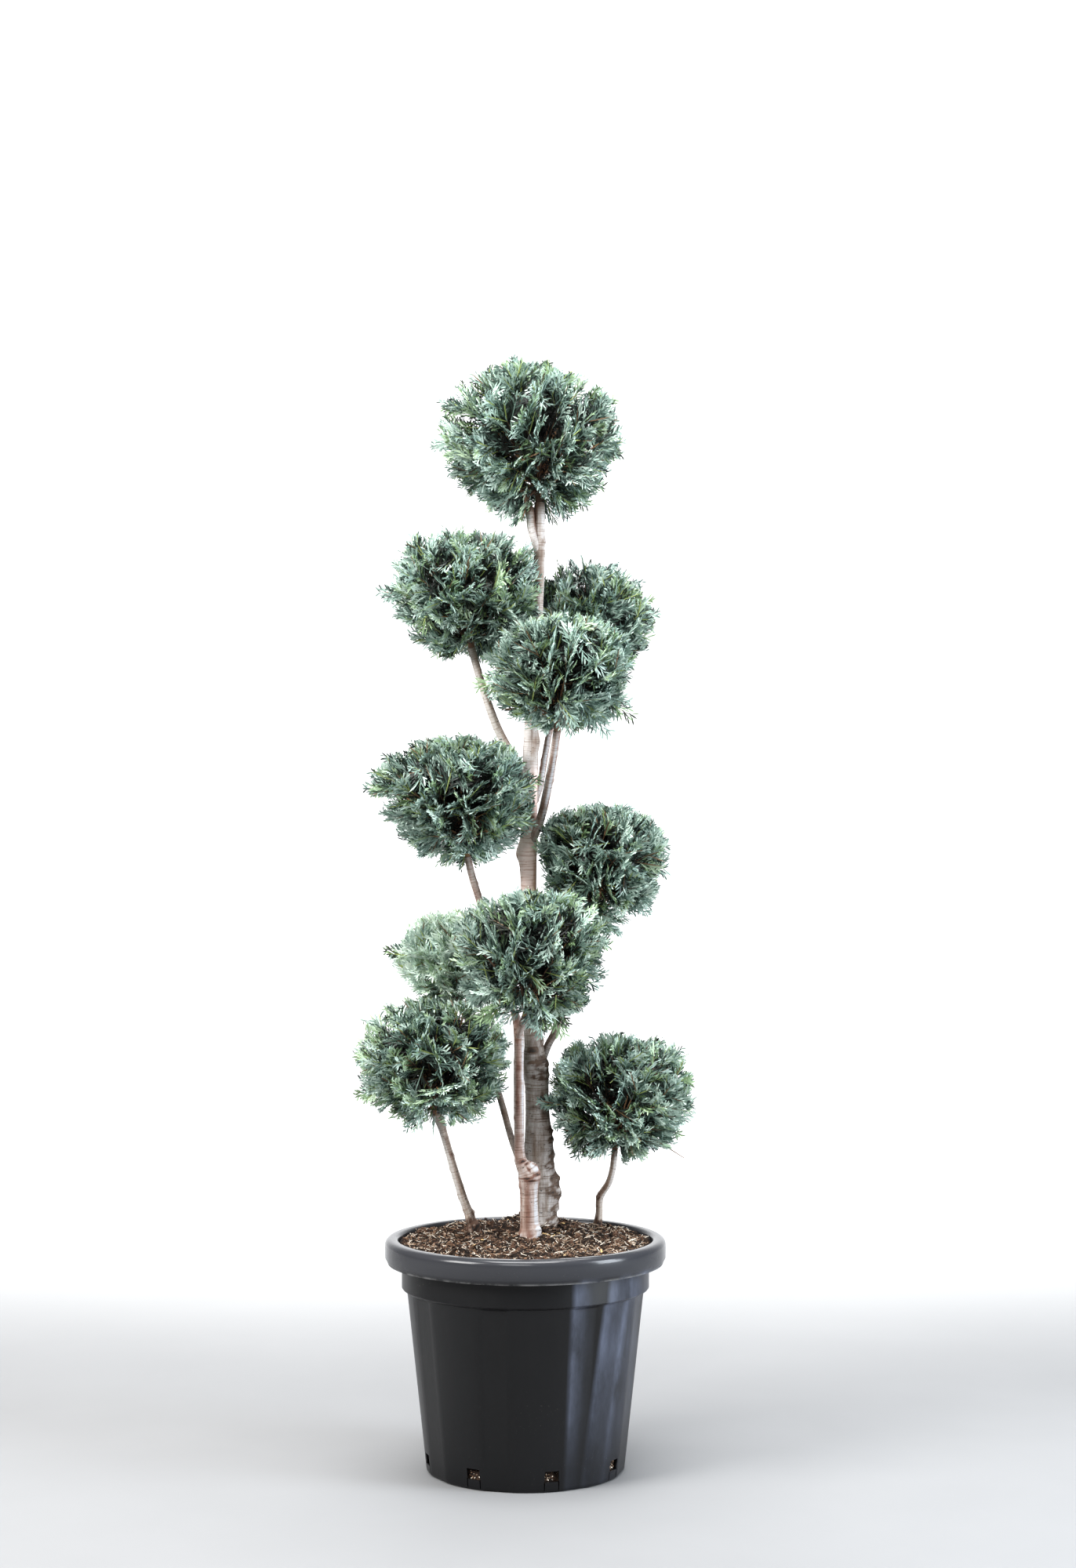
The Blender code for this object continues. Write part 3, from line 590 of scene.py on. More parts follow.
def pot_material():
    """Black moulded plastic: satin, with flow marks, scuffs, dust and a pale burr under the rim;
    a bluish sheen painted on its right side, and a rim painted paler, partly as wear and partly
    as a painted highlight.
    """
    shader = Shader("pot_plastic", (0.06, 0.06, 0.067), 0.38, 0.30)
    height = shader.coordinate("Z")
    flow = shader.noise(6, 3, 5, 0.65)
    plastic = shader.ramp(flow, ((0.35, (0.022, 0.022, 0.028)), (0.65, (0.038, 0.039, 0.048))))
    # Painted sheen: a bluish colour on the right side stands in for the reflection of the lit floor
    # and the right lamp.
    base = shader.mix(pot_painted_sheen(shader), plastic, (0.435, 0.465, 0.545))
    rim_low, rim_high = COLLAR_TOP - 0.002, COLLAR_TOP + 0.006
    # The rim is painted paler, partly as wear and partly as a painted highlight for the light from
    # above.
    worn_and_lit_rim = shader.mix(shader.fade(height, rim_low, rim_high), base, (0.195, 0.198, 0.213))
    grain = shader.fade(shader.noise(420, 420, 2, 0.5), 0.69, 0.78)
    where = shader.fade(shader.noise(11, 14, 3, 0.6), 0.50, 0.68, 0.6)
    dusty = shader.mix(shader.mix(1.0, grain, where, "MULTIPLY"), worn_and_lit_rim, (0.52, 0.50, 0.47))
    film = shader.fade(shader.noise(30, 9, 4, 0.7), 0.50, 0.75, 0.05)
    dull = shader.mix(film, dusty, (0.50, 0.49, 0.47))
    low, high = COLLAR_TOP - 0.0030, COLLAR_TOP - 0.0010
    burr = shader.ramp(height, greys((low, 0), (low + 0.0004, 1), (high, 1), (high + 0.0004, 0)))
    broken = shader.ramp(shader.noise(40, 40, 3, 0.6), greys((0.40, 0.15), (0.60, 0.8)))
    shader.paint(shader.mix(shader.mix(1.0, burr, broken, "MULTIPLY"), dull, (0.56, 0.56, 0.56)))
    shine = shader.add("ShaderNodeMapRange", {"To Min": 0.30, "To Max": 0.46, "Value": flow})
    worn = shader.ramp(height, greys((rim_low, 1), (rim_high, 0.72)))
    roughness = shader.math("MULTIPLY", shine.outputs["Result"], worn)
    shader.feed(shader.main.inputs["Roughness"], roughness)
    shader.bump(shader.noise(60, 25, 4, 0.6), 0.10, 0.002)
    return shader.material


def soil_material():
    shader = Shader("potting_mix", (0.25, 0.19, 0.14), 0.95, 0.2)
    clumps = shader.noise(120, 120, 6, 0.7)
    # The mix is darker where the clumps that shape its bump sink: painted shade in the hollows,
    # over its own uneven brown.
    shader.paint(shader.ramp(clumps, (
        (0.38, (0.06, 0.043, 0.032)), (0.54, (0.17, 0.125, 0.095)), (0.68, (0.31, 0.24, 0.19)))))
    shader.bump(clumps, 1.0, 0.004)
    return shader.material


def plain_materials(name, colours, roughness, specular):
    names = (f"{name}_{k}" for k in range(len(colours)))
    return [Shader(*pair, roughness, specular).material for pair in zip(names, colours)]


def add_object(name, data):
    thing = bpy.data.objects.new(name, data)
    bpy.context.scene.collection.objects.link(thing)
    return thing


def add_mesh(name, points, faces, materials, slots=None, smooth=False):
    """An object from arrays: points, faces of one size, and a material slot for each face."""
    points = np.asarray(points, np.float32)
    faces = np.asarray(faces, np.int32)
    mesh = bpy.data.meshes.new(name)
    mesh.vertices.add(len(points))
    mesh.vertices.foreach_set("co", points.ravel())
    mesh.loops.add(faces.size)
    mesh.loops.foreach_set("vertex_index", faces.ravel())
    mesh.polygons.add(len(faces))
    starts = np.arange(0, faces.size, faces.shape[1], dtype=np.int32)
    mesh.polygons.foreach_set("loop_start", starts)
    for material in materials:
        mesh.materials.append(material)
    if slots is not None:
        mesh.polygons.foreach_set("material_index", np.asarray(slots, np.int32))
    mesh.update(calc_edges=True)
    mesh.validate()
    if smooth:
        mesh.shade_smooth()
    return add_object(name, mesh)


def add_smooth(name, points, faces, material):
    """A smooth object from lists, with faces of any size."""
    mesh = bpy.data.meshes.new(name)
    mesh.from_pydata([tuple(point) for point in points], [], faces)
    mesh.materials.append(material)
    mesh.shade_smooth()
    return add_object(name, mesh)


def add_shape(name, shape):
    """An object from a bmesh, which is freed."""
    mesh = bpy.data.meshes.new(name)
    shape.to_mesh(mesh)
    shape.free()
    return add_object(name, mesh)


def finish_piece(thing, slot, *nodes):
    """Hands a piece to the frame: it rides on the one body and may stand for CAD nodes."""
    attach(thing, "root")
    for node in nodes:
        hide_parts(node)


def spline(before, start, end, after, t):
    return 0.5 * (
        2 * start
        + (end - before) * t
        + (2 * before - 5 * start + 4 * end - after) * t * t
        + (3 * start - before - 3 * end + after) * t * t * t
    )


def route(limb, spacing):
    """Centres and radii along a limb, about a spacing apart."""
    stations = np.array(limb.stations)
    last = len(stations) - 1
    points = []
    for index in range(last):
        around = [stations[min(max(index + k, 0), last)] for k in (-1, 0, 1, 2)]
        steps = max(1, round(np.linalg.norm(around[2][:3] - around[1][:3]) / spacing))
        points += [spline(*around, step / steps) for step in range(steps)]
    points.append(stations[last])
    return np.array(points)


def unit(vectors):
    return vectors / np.maximum(np.linalg.norm(vectors, axis=-1, keepdims=True), 1e-9)


def frames(centres, standing):
    """A side and a rear direction at each centre of a swept shape."""
    tangents = unit(np.gradient(centres, axis=0))
    if standing:
        tangents[0] = UP
    sides = unit(np.array((1.0, 0, 0)) - tangents * tangents[:, :1])
    return sides, np.cross(tangents, sides)


def ring_faces(rings, sides):
    """Quads between neighbouring rings of a tube."""
    k = np.arange(sides)
    ahead = (k + 1) % sides
    low = np.arange(rings - 1)[:, None] * sides
    high = low + sides
    return np.stack([low + k, low + ahead, high + ahead, high + k], axis=-1).reshape(-1, 4)


def placed(rows, size_in):
    """Rows of burls or marks, with their lengths in metres."""
    return [(mm(z), turn, size_in(size), mm(half), angle) for z, turn, size, half, angle in rows]


def limb_burls(limb):
    """The placed burls of a limb, and small knots all over it."""
    dice = random.Random(limb.name)
    low, high = limb.stations[0][2], limb.stations[-1][2]
    burls = placed(BURLS.get(limb.name, ()), mm)
    for _ in range(int((high - low) / KNOT_SPACING)):
        ranges = (low, high), (-180, 180), (0.0004, 0.0013), (0.0018, 0.0034), (14, 30)
        burls.append(tuple(dice.uniform(*ends) for ends in ranges))
    return burls


def nearby(marks, place, azimuth):
    """The size of each mark near a place on a limb, and how near it is: 1 at its middle."""
    for height, facing, size, half_height, half_angle in marks:
        if abs(place - height) < 3 * half_height:
            turn = (degrees(azimuth) - facing + 180) % 360 - 180
            rise = (place - height) / half_height
            yield size, exp(-(rise ** 2) - (turn / half_angle) ** 2)


def limb_surface(limb, burls, marks, centre, radius, azimuth, along):
    """The reach of the bark at a place, and its tone from 0 for brown to 1 for white."""
    bulge = rise = rough = tone = 0.0
    for height, facing, size, spread in limb.swellings:
        near = exp(-(((centre[2] - height) / spread) ** 2))
        bulge += size * max(0.0, cos(azimuth - facing)) ** 2 * near
    for size, near in nearby(burls, centre[2], azimuth):
        rise += size * near
        rough += near * min(1.0, size / (2 * BURL_SIZE)) * (size > BURL_SIZE)
        tone -= 0.45 * near * (size < BURL_SIZE)
    for shade, near in nearby(marks, centre[2], azimuth):
        tone += shade * near
    x, y = cos(azimuth), sin(azimuth)
    low = noise.noise(Vector((x * 1.3, y * 1.3, along * 28)))
    ring = noise.noise(Vector((x * 1.1, y * 1.1, along * 330)))
    fine = noise.noise(Vector((x * 3.0, y * 3.0, along * 800)))
    burl = noise.turbulence(Vector((x * 2.6, y * 2.6, along * 150)), 3, False) - 0.4
    relief = (0.0002 + 0.008 * radius) * (0.8 * ring + 0.5 * fine)
    reach = radius * (1 + bulge + 0.045 * low) + relief + rise + 0.0026 * min(1.0, rough) * burl
    # On burls the tone follows their relief, paler on the bumps and darker between them and round
    # their edge: painted highlight and shade over the bark's own dark fissures.
    tone += min(1.0, rough) * (1.3 * burl - 0.05) - 0.6 * exp(-(((rough - 0.30) / 0.11) ** 2))
    return reach, 0.5 + 0.5 * max(-1.7, min(1.0, tone))


def make_limb(limb, materials):
    """A limb with real bark relief, which stands for the plain solid."""
    stations = route(limb, RING_SPACING)
    centres, radii = stations[:, :3], stations[:, 3]
    along = np.concatenate([[0], np.cumsum(np.linalg.norm(np.diff(centres, axis=0), axis=1))])
    angles = np.arange(LIMB_SIDES) * tau / LIMB_SIDES
    burls = limb_burls(limb)
    marks = placed(MARKS_AND_PAINTED_LIGHT.get(limb.name, ()), float)
    points, grain, tones = [], [], []
    sides, rears = frames(centres, limb.carrier is None)
    for centre, radius, side, rear, step in zip(centres, radii, sides, rears, along):
        for angle in angles:
            outward = side * cos(angle) + rear * sin(angle)
            azimuth = atan2(outward[0], -outward[1])
            reach, tone = limb_surface(limb, burls, marks, centre, radius, azimuth, step)
            points.append(centre + outward * reach)
            tones.append(tone)
            grain.append((radius * cos(angle), radius * sin(angle), step))
    faces = ring_faces(len(centres), LIMB_SIDES).tolist()
    count = len(points)
    top = count - LIMB_SIDES
    for k in range(LIMB_SIDES):
        ahead = (k + 1) % LIMB_SIDES
        faces += [(ahead, k, count), (top + k, top + ahead, count + 1)]
    points += [centres[0], centres[-1]]
    grain += [(0, 0, 0), (0, 0, along[-1])]
    tones += [0.5, 0.5]
    material = materials["tan_bark" if limb.name in TAN_LIMBS else limb.bark]
    thing = add_smooth(limb.name + "_bark", points, faces, material)
    field = thing.data.attributes.new("grain", "FLOAT_VECTOR", "POINT")
    field.data.foreach_set("vector", np.array(grain, np.float32).ravel())
    field = thing.data.attributes.new("tone", "FLOAT", "POINT")
    field.data.foreach_set("value", tones)
    finish_piece(thing, limb.bark, limb.name)


def depth_in(pompon, points):
    """0 at the centre of a pompon's space, 1 on its edge, for an array of points. Its lower
    part leans toward the end of the limb that carries it."""
    x, y, z = pompon.centre
    foot = LIMB_ENDS[pompon.limb]
    sunk = np.clip((z - points[:, 2]) / pompon.below, 0, 1)[:, None]
    lean = np.array((foot[0] - x, foot[1] - y, 0)) * LEAN_SHARE
    lean = np.array(LEANS.get(pompon.name, lean))
    offset = np.abs(points - np.array(pompon.centre) - lean * sunk)
    rising = points[:, 2] > z
    power = np.where(rising, pompon.dome, pompon.skirt)
    reach_z = np.where(rising, pompon.above, pompon.below)
    reaches = pompon.half_width, pompon.half_depth, reach_z
    parts = np.stack([offset[:, k] / reach for k, reach in enumerate(reaches)])
    return (parts ** power).sum(axis=0) ** (1 / power)


def lumps(points):
    """The uneven edge of a clipped pompon, around 1."""
    broad = np.array([noise.noise(Vector(point) * 17) for point in points])
    small = np.array([noise.noise(Vector(point) * 48) for point in points])
    return 0.965 + 0.072 * broad + 0.045 * small


def spray_template(number):
    """A flat spray of length 1: rows of start x, y, end x, y, branchlet number and order."""
    dice = random.Random(TEMPLATE_SEED + number)
    rows = [(0, 0, 1, 0, 0, 0)]
    for k in range(BRANCHLETS):
        share = (k + 0.8) / (BRANCHLETS + 0.5)
        side = 1 if k % 2 else -1
        length = BRANCHLET_LENGTH * sin(pi * (0.24 + 0.68 * share)) * dice.uniform(0.80, 1.15)
        angle = side * BRANCHLET_ANGLE * (1.08 - 0.30 * share) * dice.uniform(0.88, 1.12)
        ahead, across = cos(angle), sin(angle)
        rows.append((share, 0, share + length * ahead, length * across, k + 1, 1))
        strands = int(length / STRAND_SPACING)
        for strand in range(strands):
            place = (strand + 0.7) / (strands + 0.5)
            reach = STRAND_LENGTH[0] + STRAND_LENGTH[1] * length * (1 - place)
            reach *= dice.uniform(0.8, 1.25)
            turn = angle + (1 if strand % 2 else -1) * STRAND_ANGLE * dice.uniform(0.8, 1.15)
            x, y = share + length * place * ahead, length * place * across
            rows.append((x, y, x + reach * cos(turn), y + reach * sin(turn), k + 1, 2))
    return np.array(rows)


def boughlet_path(pompon, neck, direction, share, dice):
    """The curve of one boughlet, from the pompon's foot up and out toward the edge of its space."""
    centre = np.array(pompon.centre)
    reach = 1 / depth_in(pompon, (centre + direction)[None])[0]
    tip = centre + direction * reach * share
    foot = centre + (neck - centre) * dice.uniform(0.55, 0.94)
    span = np.linalg.norm(tip - foot)
    bow = UP * span * (0.03 + 0.15 * max(0.0, 0.35 - direction[2]))
    middle = foot * 0.5 + tip * 0.5 + bow
    t = np.linspace(0, 1, PATH_STEPS)[:, None]
    return foot * (1 - t) ** 2 + middle * 2 * t * (1 - t) + tip * t ** 2


def room_along(pompon, places, headings):
    """How far each ray can go before it leaves the pompon's space."""
    low, high = np.zeros(len(places)), np.full(len(places), SPRAY_ROOM)
    for _ in range(ROOM_HALVINGS):
        middle = (low + high) / 2
        inside = depth_in(pompon, places + headings * middle[:, None]) < 1
        low, high = np.where(inside, middle, low), np.where(inside, high, middle)
    return low


def square(faces, headings):
    """Facings, turned until they stand square to their headings."""
    return unit(faces - headings * (faces * headings).sum(axis=1, keepdims=True))


def spray_bases(path, dice):
    """Where the sprays of one boughlet start, which way they go and which way they face.
    They lie in one plane, which mostly stands upright."""
    shares = np.clip(np.array(SPRAY_SHARES) + dice.normal(0, 0.015, len(SPRAY_SHARES)), 0, 1)
    last = np.array(SPRAY_SHARES) == 1
    shares = np.where(last, dice.uniform(0.70, 0.82, len(shares)), shares)
    at = shares * (PATH_STEPS - 1)
    low = np.minimum(at.astype(int), PATH_STEPS - 2)
    part = (at - low)[:, None]
    places = path[low] * (1 - part) + path[low + 1] * part
    tangents = unit(path[low + 1] - path[low])
    plane = np.cross(UP, tangents[-1]) * UPRIGHT + dice.normal(0, 0.60, 3)
    across = unit(np.cross(plane, tangents[-1])[None])
    side = np.where(np.arange(len(shares)) % 2, 1.0, -1.0)[:, None]
    spread = np.where(last, dice.uniform(0, 0.25, len(last)), dice.uniform(0.65, 1.3, len(last)))
    angle = SPRAY_ANGLE * spread[:, None]
    headings = tangents * np.cos(angle) + across * side * np.sin(angle)
    headings = unit(headings + dice.normal(0, 0.09, tangents.shape))
    plane = unit(np.cross(tangents[-1], across))
    faces = square(plane + dice.normal(0, 0.28, tangents.shape), headings)
    lengths = dice.uniform(*SPRAY_LENGTH, len(shares)) * (1.14 - 0.30 * shares)
    return places, headings, faces, lengths


def fill_bases(pompon, number, dice):
    """The shaded sprays round the middle of a pompon, which close the view through it."""
    centre = np.array(pompon.centre)
    directions = np.array([
        sphere_direction(k, FILL_COUNT, number + 2, dice, 0.15) for k in range(FILL_COUNT)])
    reach = 1 / depth_in(pompon, centre + directions)
    places = centre + directions * (reach * dice.uniform(*FILL_DEPTHS, FILL_COUNT))[:, None]
    headings = unit(np.cross(directions, dice.normal(0, 1, directions.shape)) + directions * 0.3)
    faces = square(directions, headings)
    lengths = dice.uniform(*FILL_LENGTH, FILL_COUNT)
    return places - headings * FILL_SETBACK, headings, faces, lengths


def skirt_bases(neck, dice):
    """The sprays close round the end of the limb, which spread out and down from it."""
    angles = np.arange(SKIRT_COUNT) * GOLDEN_ANGLE + dice.normal(0, 0.2, SKIRT_COUNT)
    outward = np.stack([np.cos(angles), np.sin(angles), np.zeros(SKIRT_COUNT)], axis=1)
    places = neck + UP * dice.uniform(*SKIRT_RISE, SKIRT_COUNT)[:, None]
    places = places + outward * dice.uniform(*SKIRT_OUT, SKIRT_COUNT)[:, None]
    headings = unit(outward + UP * dice.uniform(*SKIRT_SLOPE, SKIRT_COUNT)[:, None])
    upper = np.cross(headings, np.cross(UP, outward))
    faces = square(upper + dice.normal(0, 0.5, headings.shape), headings)
    return places, headings, faces, dice.uniform(*SKIRT_LENGTH, SKIRT_COUNT)


def lay_sprays(template, places, headings, faces, lengths, dice):
    """The segments of all sprays of one template: base, tip and facing, by spray and row."""
    x0, y0, x1, y1, branchlet, order = template.T
    sides = np.cross(faces, headings)
    droop = -np.sign(faces[:, 2:]) * dice.uniform(0.0, 0.16, (len(places), 1))
    cup = dice.uniform(-0.25, 0.45, (len(places), 1))

    def put(x, y, lift):
        rise = droop * x ** 2 + cup * y ** 2 + lift
        flat = headings[:, None] * x[:, None] + sides[:, None] * y[:, None]
        offset = flat + faces[:, None] * rise[:, :, None]
        return places[:, None] + offset * lengths[:, None, None]

    lift = dice.normal(0, STRAND_LIFT, (len(places), len(template))) * (order > 0)
    turns = dice.normal(0, TWIST, (len(places), BRANCHLETS + 1))[:, branchlet.astype(int)]
    turns = turns + dice.normal(0, STRAND_TWIST, turns.shape)
    facing = faces[:, None] + sides[:, None] * turns[:, :, None]
    return put(x0, y0, 0), put(x1, y1, lift), facing


def deal_tones(template, count, warm_share, dice):
    """A colour for every segment of a count of sprays: darker at the foot, paler at the tip."""
    branchlet, order, along = template[:, 4].astype(int), template[:, 5], template[:, 2]
    warm = dice.random((count, 1)) < warm_share
    level = dice.choice(LEVELS, p=LEVEL_SHARES, size=(count, 1))
    odd = dice.choice((-1, 0, 1), p=ODD_ODDS, size=(count, BRANCHLETS + 1))[:, branchlet]
    odd = odd + dice.choice((-1, 0, 1), p=STRAND_ODDS, size=(count, len(template)))
    tip = (along > 0.80) & (dice.random((count, len(template))) < 0.5)
    level = level + odd + tip - (along < 0.34)
    ribs = dice.choice((RIB_GREEN, RIB_BROWN, 2), p=RIB_ODDS, size=(count, 1))
    return level, warm, np.where(order == 0, ribs, -1)


def keep_clear(pompon, tips, limits, samples):
    """Which segments keep to the pompon's space, clear of limbs and neighbours, and leave
    the end of the limb that carries them in view from the front."""
    keep = (depth_in(pompon, tips) < limits) & (abs(tips[:, 0]) < WIDEST_REACH)
    for other in POMPONS:
        if other is not pompon:
            keep &= depth_in(other, tips) > 1.0
    low, high = tips.min(axis=0) - NEARBY, tips.max(axis=0) + NEARBY
    near = samples[((samples[:, :3] > low) & (samples[:, :3] < high)).all(axis=1)]
    for x, y, z, radius in near:
        keep &= ((tips - (x, y, z)) ** 2).sum(axis=1) > (radius + LIMB_CLEARANCE) ** 2
    for limb in LIMBS:
        ends = route(limb, SAMPLE_SPACING)[-NECK_STEPS:]
        if depth_in(pompon, ends[-1:, :3])[0] < NECK_DEPTH:
            for x, y, z, radius in ends[: NECK_STEPS - COVERED_STEPS.get(limb.name, 0)]:
                beside = abs(tips[:, 0] - x) < radius + NECK_MARGIN
                keep &= ~((tips[:, 1] < y) & beside & (abs(tips[:, 2] - z) < NECK_MARGIN))
    return keep


def leaf_mesh(base, tip, face, order, tones):
    """Each segment as a flat blade of three triangles, widest past its middle."""
    along = tip - base
    side = unit(np.cross(face, along)) * np.array(HALF_WIDTHS)[order][:, None]
    wide = base + along * WIDEST
    foot = side * FOOT_SHARE
    points = np.stack([base - foot, base + foot, wide + side, tip, wide - side], axis=1)
    first = np.arange(len(base))[:, None] * 5
    faces = np.concatenate([first + corners for corners in BLADE_FACES], axis=1)
    return points.reshape(-1, 3), faces.reshape(-1, 3), np.repeat(tones, 3)


def twig_mesh(path, thick, thin, sides=TWIG_SIDES):
    """A tapered twig along a path."""
    side, rear = frames(path, False)
    radii = np.linspace(thick, thin, len(path))[:, None, None]
    angles = np.arange(sides) * tau / sides
    around = np.cos(angles)[:, None], np.sin(angles)[:, None]
    outward = side[:, None] * around[0] + rear[:, None] * around[1]
    return (path[:, None] + outward * radii).reshape(-1, 3), ring_faces(len(path), sides)


def sphere_direction(number, count, turn, dice, jitter):
    """One of a count of directions spread evenly over a sphere, a little off its place."""
    level = 1 - 2 * (number + 0.5) / count
    angle = number * GOLDEN_ANGLE + turn
    ring = sqrt(1 - level * level)
    direction = np.array((ring * cos(angle), ring * sin(angle), level))
    return unit((direction + dice.normal(0, jitter, 3))[None])[0]


def lay_foliage(pompon, bases, templates, samples, dice):
    """All segments of a pompon's sprays, trimmed to its space, with their colours."""
    places, headings, faces, lengths = bases
    room = room_along(pompon, places, headings)
    rising = headings[:, 2] > RISING
    over_top, over_side = (dice.uniform(*ends, len(places)) for ends in (TOP_LIMITS, SIDE_LIMITS))
    limits = np.where(rising, over_top, over_side)
    lengths = np.minimum(lengths, room + (limits - FULL_LIMIT) * SPRAY_ROOM)
    kinds = dice.integers(len(templates), size=len(places))
    rows = []
    for kind, template in enumerate(templates):
        chosen = np.flatnonzero((kinds == kind) & (lengths > SHORTEST_SPRAY))
        sprays = (places[chosen], headings[chosen], faces[chosen], lengths[chosen])
        base, tip, face = lay_sprays(template, *sprays, dice)
        shape = (len(chosen), len(template))
        order = np.broadcast_to(template[:, 5].astype(int), shape)
        level, warm, fixed = deal_tones(template, len(chosen), pompon.warm_share, dice)
        columns = (base, tip, face, order, level, np.broadcast_to(warm, shape), fixed)
        columns += (limits[chosen][:, None] + np.array(SPIKE_REACH)[order],)
        rows.append([values.reshape(-1, *values.shape[2:]) for values in columns])
    columns = (np.concatenate(column) for column in zip(*rows))
    base, tip, face, order, level, warm, fixed, limits = columns
    # Painted shade and light: deeper segments take darker levels and, deepest, the near-black inner
    # colour; a pompon's lift adds painted light, or shade below 0, and above 1 its palest segments
    # take the palest painted highlight.
    depth = depth_in(pompon, tip) + dice.normal(0, 0.05, len(tip))
    shade = sum(depth < shaded for shaded in SHADED_DEPTHS)
    lit_and_shaded_level = level - shade + np.floor(pompon.lift + dice.random(len(tip)))
    level = np.clip(lit_and_shaded_level, 0, LEVELS - 1).astype(int)
    tones = np.where((lit_and_shaded_level > LEVELS) & (pompon.lift > 1), PALEST_HIGHLIGHT, level + LEVELS * warm)
    tones = np.where(fixed >= 0, fixed, tones)
    tones = np.where((depth < INNER_SHADE_DEPTH) & (pompon.lift < 1), INNER_SHADE, tones)
    keep = keep_clear(pompon, tip, limits * lumps(tip), samples)
    kept = [column[keep] for column in (base, tip, face, order, tones)]
    stray = lay_strays(STRAYS[pompon.name], templates, dice)
    return leaf_mesh(*(np.concatenate(pair) for pair in zip(kept, stray)))


def lay_strays(strays, templates, dice):
    """The segments of the sprays that stand out, which face the front."""
    rows = np.repeat(np.array(strays), len(STRAY_TURNS), axis=0)
    starts, lengths, headings = rows[:, :3] / 1000, rows[:, 3] / 1000, unit(rows[:, 4:])
    turns = np.tile(STRAY_TURNS, len(strays))[:, None]
    headings = headings * np.cos(turns) + np.cross(headings, (0.0, 1.0, 0.0)) * np.sin(turns)
    lengths = lengths * np.tile(STRAY_SCALES, len(strays))
    faces = square(np.array((0.0, -1.0, 0.2)) + dice.normal(0, 0.25, headings.shape), headings)
    template = templates[0]
    base, tip, face = lay_sprays(template, starts, headings, faces, lengths, dice)
    level, warm, fixed = deal_tones(template, len(lengths), WARM_SHARE, dice)
    tones = np.where(fixed >= 0, fixed, np.clip(level - 1, 0, LEVELS - 2) + LEVELS * warm)
    order = np.broadcast_to(template[:, 5].astype(int), tones.shape)
    inside = abs(tip[:, :, 0]) < WIDEST_REACH
    return [values[inside] for values in (base, tip, face, order, tones)]


def make_pompon(pompon, number, templates, foliage, twig_bark, samples):
    """The sprays of one pompon as one mesh, and its boughlets as another."""
    dice = np.random.default_rng(POMPON_SEED + number)
    name = "pompon_" + pompon.name
    *neck, limb_radius = LIMB_ENDS[pompon.limb]
    neck, centre = np.array(neck), np.array(pompon.centre)
    bases, twigs = [fill_bases(pompon, number, dice), skirt_bases(neck, dice)], []
    for k in range(pompon.boughlets):
        direction = sphere_direction(k, pompon.boughlets, number, dice, 0.10)
        path = boughlet_path(pompon, neck, direction, dice.uniform(*BOUGHLET_SHARES), dice)
        bases.append(spray_bases(path, dice))
        twigs.append(twig_mesh(path[: PATH_STEPS - 1], dice.uniform(*TWIG_THICK), TWIG_THIN))
    bases = [np.concatenate(column) for column in zip(*bases)]
    points, shapes, slots = lay_foliage(pompon, bases, templates, samples, dice)
    finish_piece(add_mesh(name + "_sprays", points, shapes, foliage, slots), "foliage", name)
    stem_path = neck + (centre - neck) * np.linspace(*STEM_SHARES, STEM_STEPS)[:, None]
    twigs.append(twig_mesh(stem_path, limb_radius * STEM_FIT, STEM_TIP, WOOD_SIDES))
    if pompon.name in BARE_WOOD:
        thick, thin, path = BARE_WOOD[pompon.name]
        twigs.append(twig_mesh(np.array(path), thick, thin, WOOD_SIDES))
    points, shapes, slots, first = [], [], [], 0
    for twig_points, twig_faces in twigs:
        points.append(twig_points)
        shapes.append(twig_faces + first)
        slots += [int(dice.integers(len(twig_bark)))] * len(twig_faces)
        first += len(twig_points)
    points, shapes = np.concatenate(points), np.concatenate(shapes)
    thing = add_mesh(name + "_twigs", points, shapes, twig_bark, slots, smooth=True)
    finish_piece(thing, "brown_bark")


def pot_reach(radius, angle, height):
    """The radius of the pot at an angle, pulled in where it has a flat panel."""
    from_middle = (angle - POT_PHASE) % PANEL_PITCH - PANEL_WIDTH / 2
    if height >= BODY_TOP or abs(from_middle) > PANEL_WIDTH / 2:
        return radius
    return radius * cos(PANEL_WIDTH / 2) / cos(from_middle)


def turned(name, profile, material):
    """A turned mesh from points of radius and height."""
    shape = bmesh.new()
    rings = []
    for radius, height in profile[1:-1]:
        ring = []
        for side in range(POT_SIDES):
            angle = POT_PHASE + side * tau / POT_SIDES
            reach = pot_reach(radius, angle, height)
            ring.append(shape.verts.new((reach * sin(angle), -reach * cos(angle), height)))
        rings.append(ring)
    for low, high in zip(rings, rings[1:]):
        for k in range(POT_SIDES):
            shape.faces.new((low[k - 1], low[k], high[k], high[k - 1]))
    for ring, height in ((rings[0], profile[0][1]), (rings[-1], profile[-1][1])):
        middle = shape.verts.new((0, 0, height))
        for k in range(POT_SIDES):
            shape.faces.new((ring[k - 1], ring[k], middle))
    bmesh.ops.recalc_face_normals(shape, faces=shape.faces)
    thing = add_shape(name, shape)
    thing.data.materials.append(material)
    return thing


def arc(middle, radius, start, end, steps):
    """Profile points along an arc round a middle; its ends are in degrees."""
    angles = np.radians(np.linspace(start, end, steps))
    return [(middle[0] + radius * cos(a), middle[1] + radius * sin(a)) for a in angles]


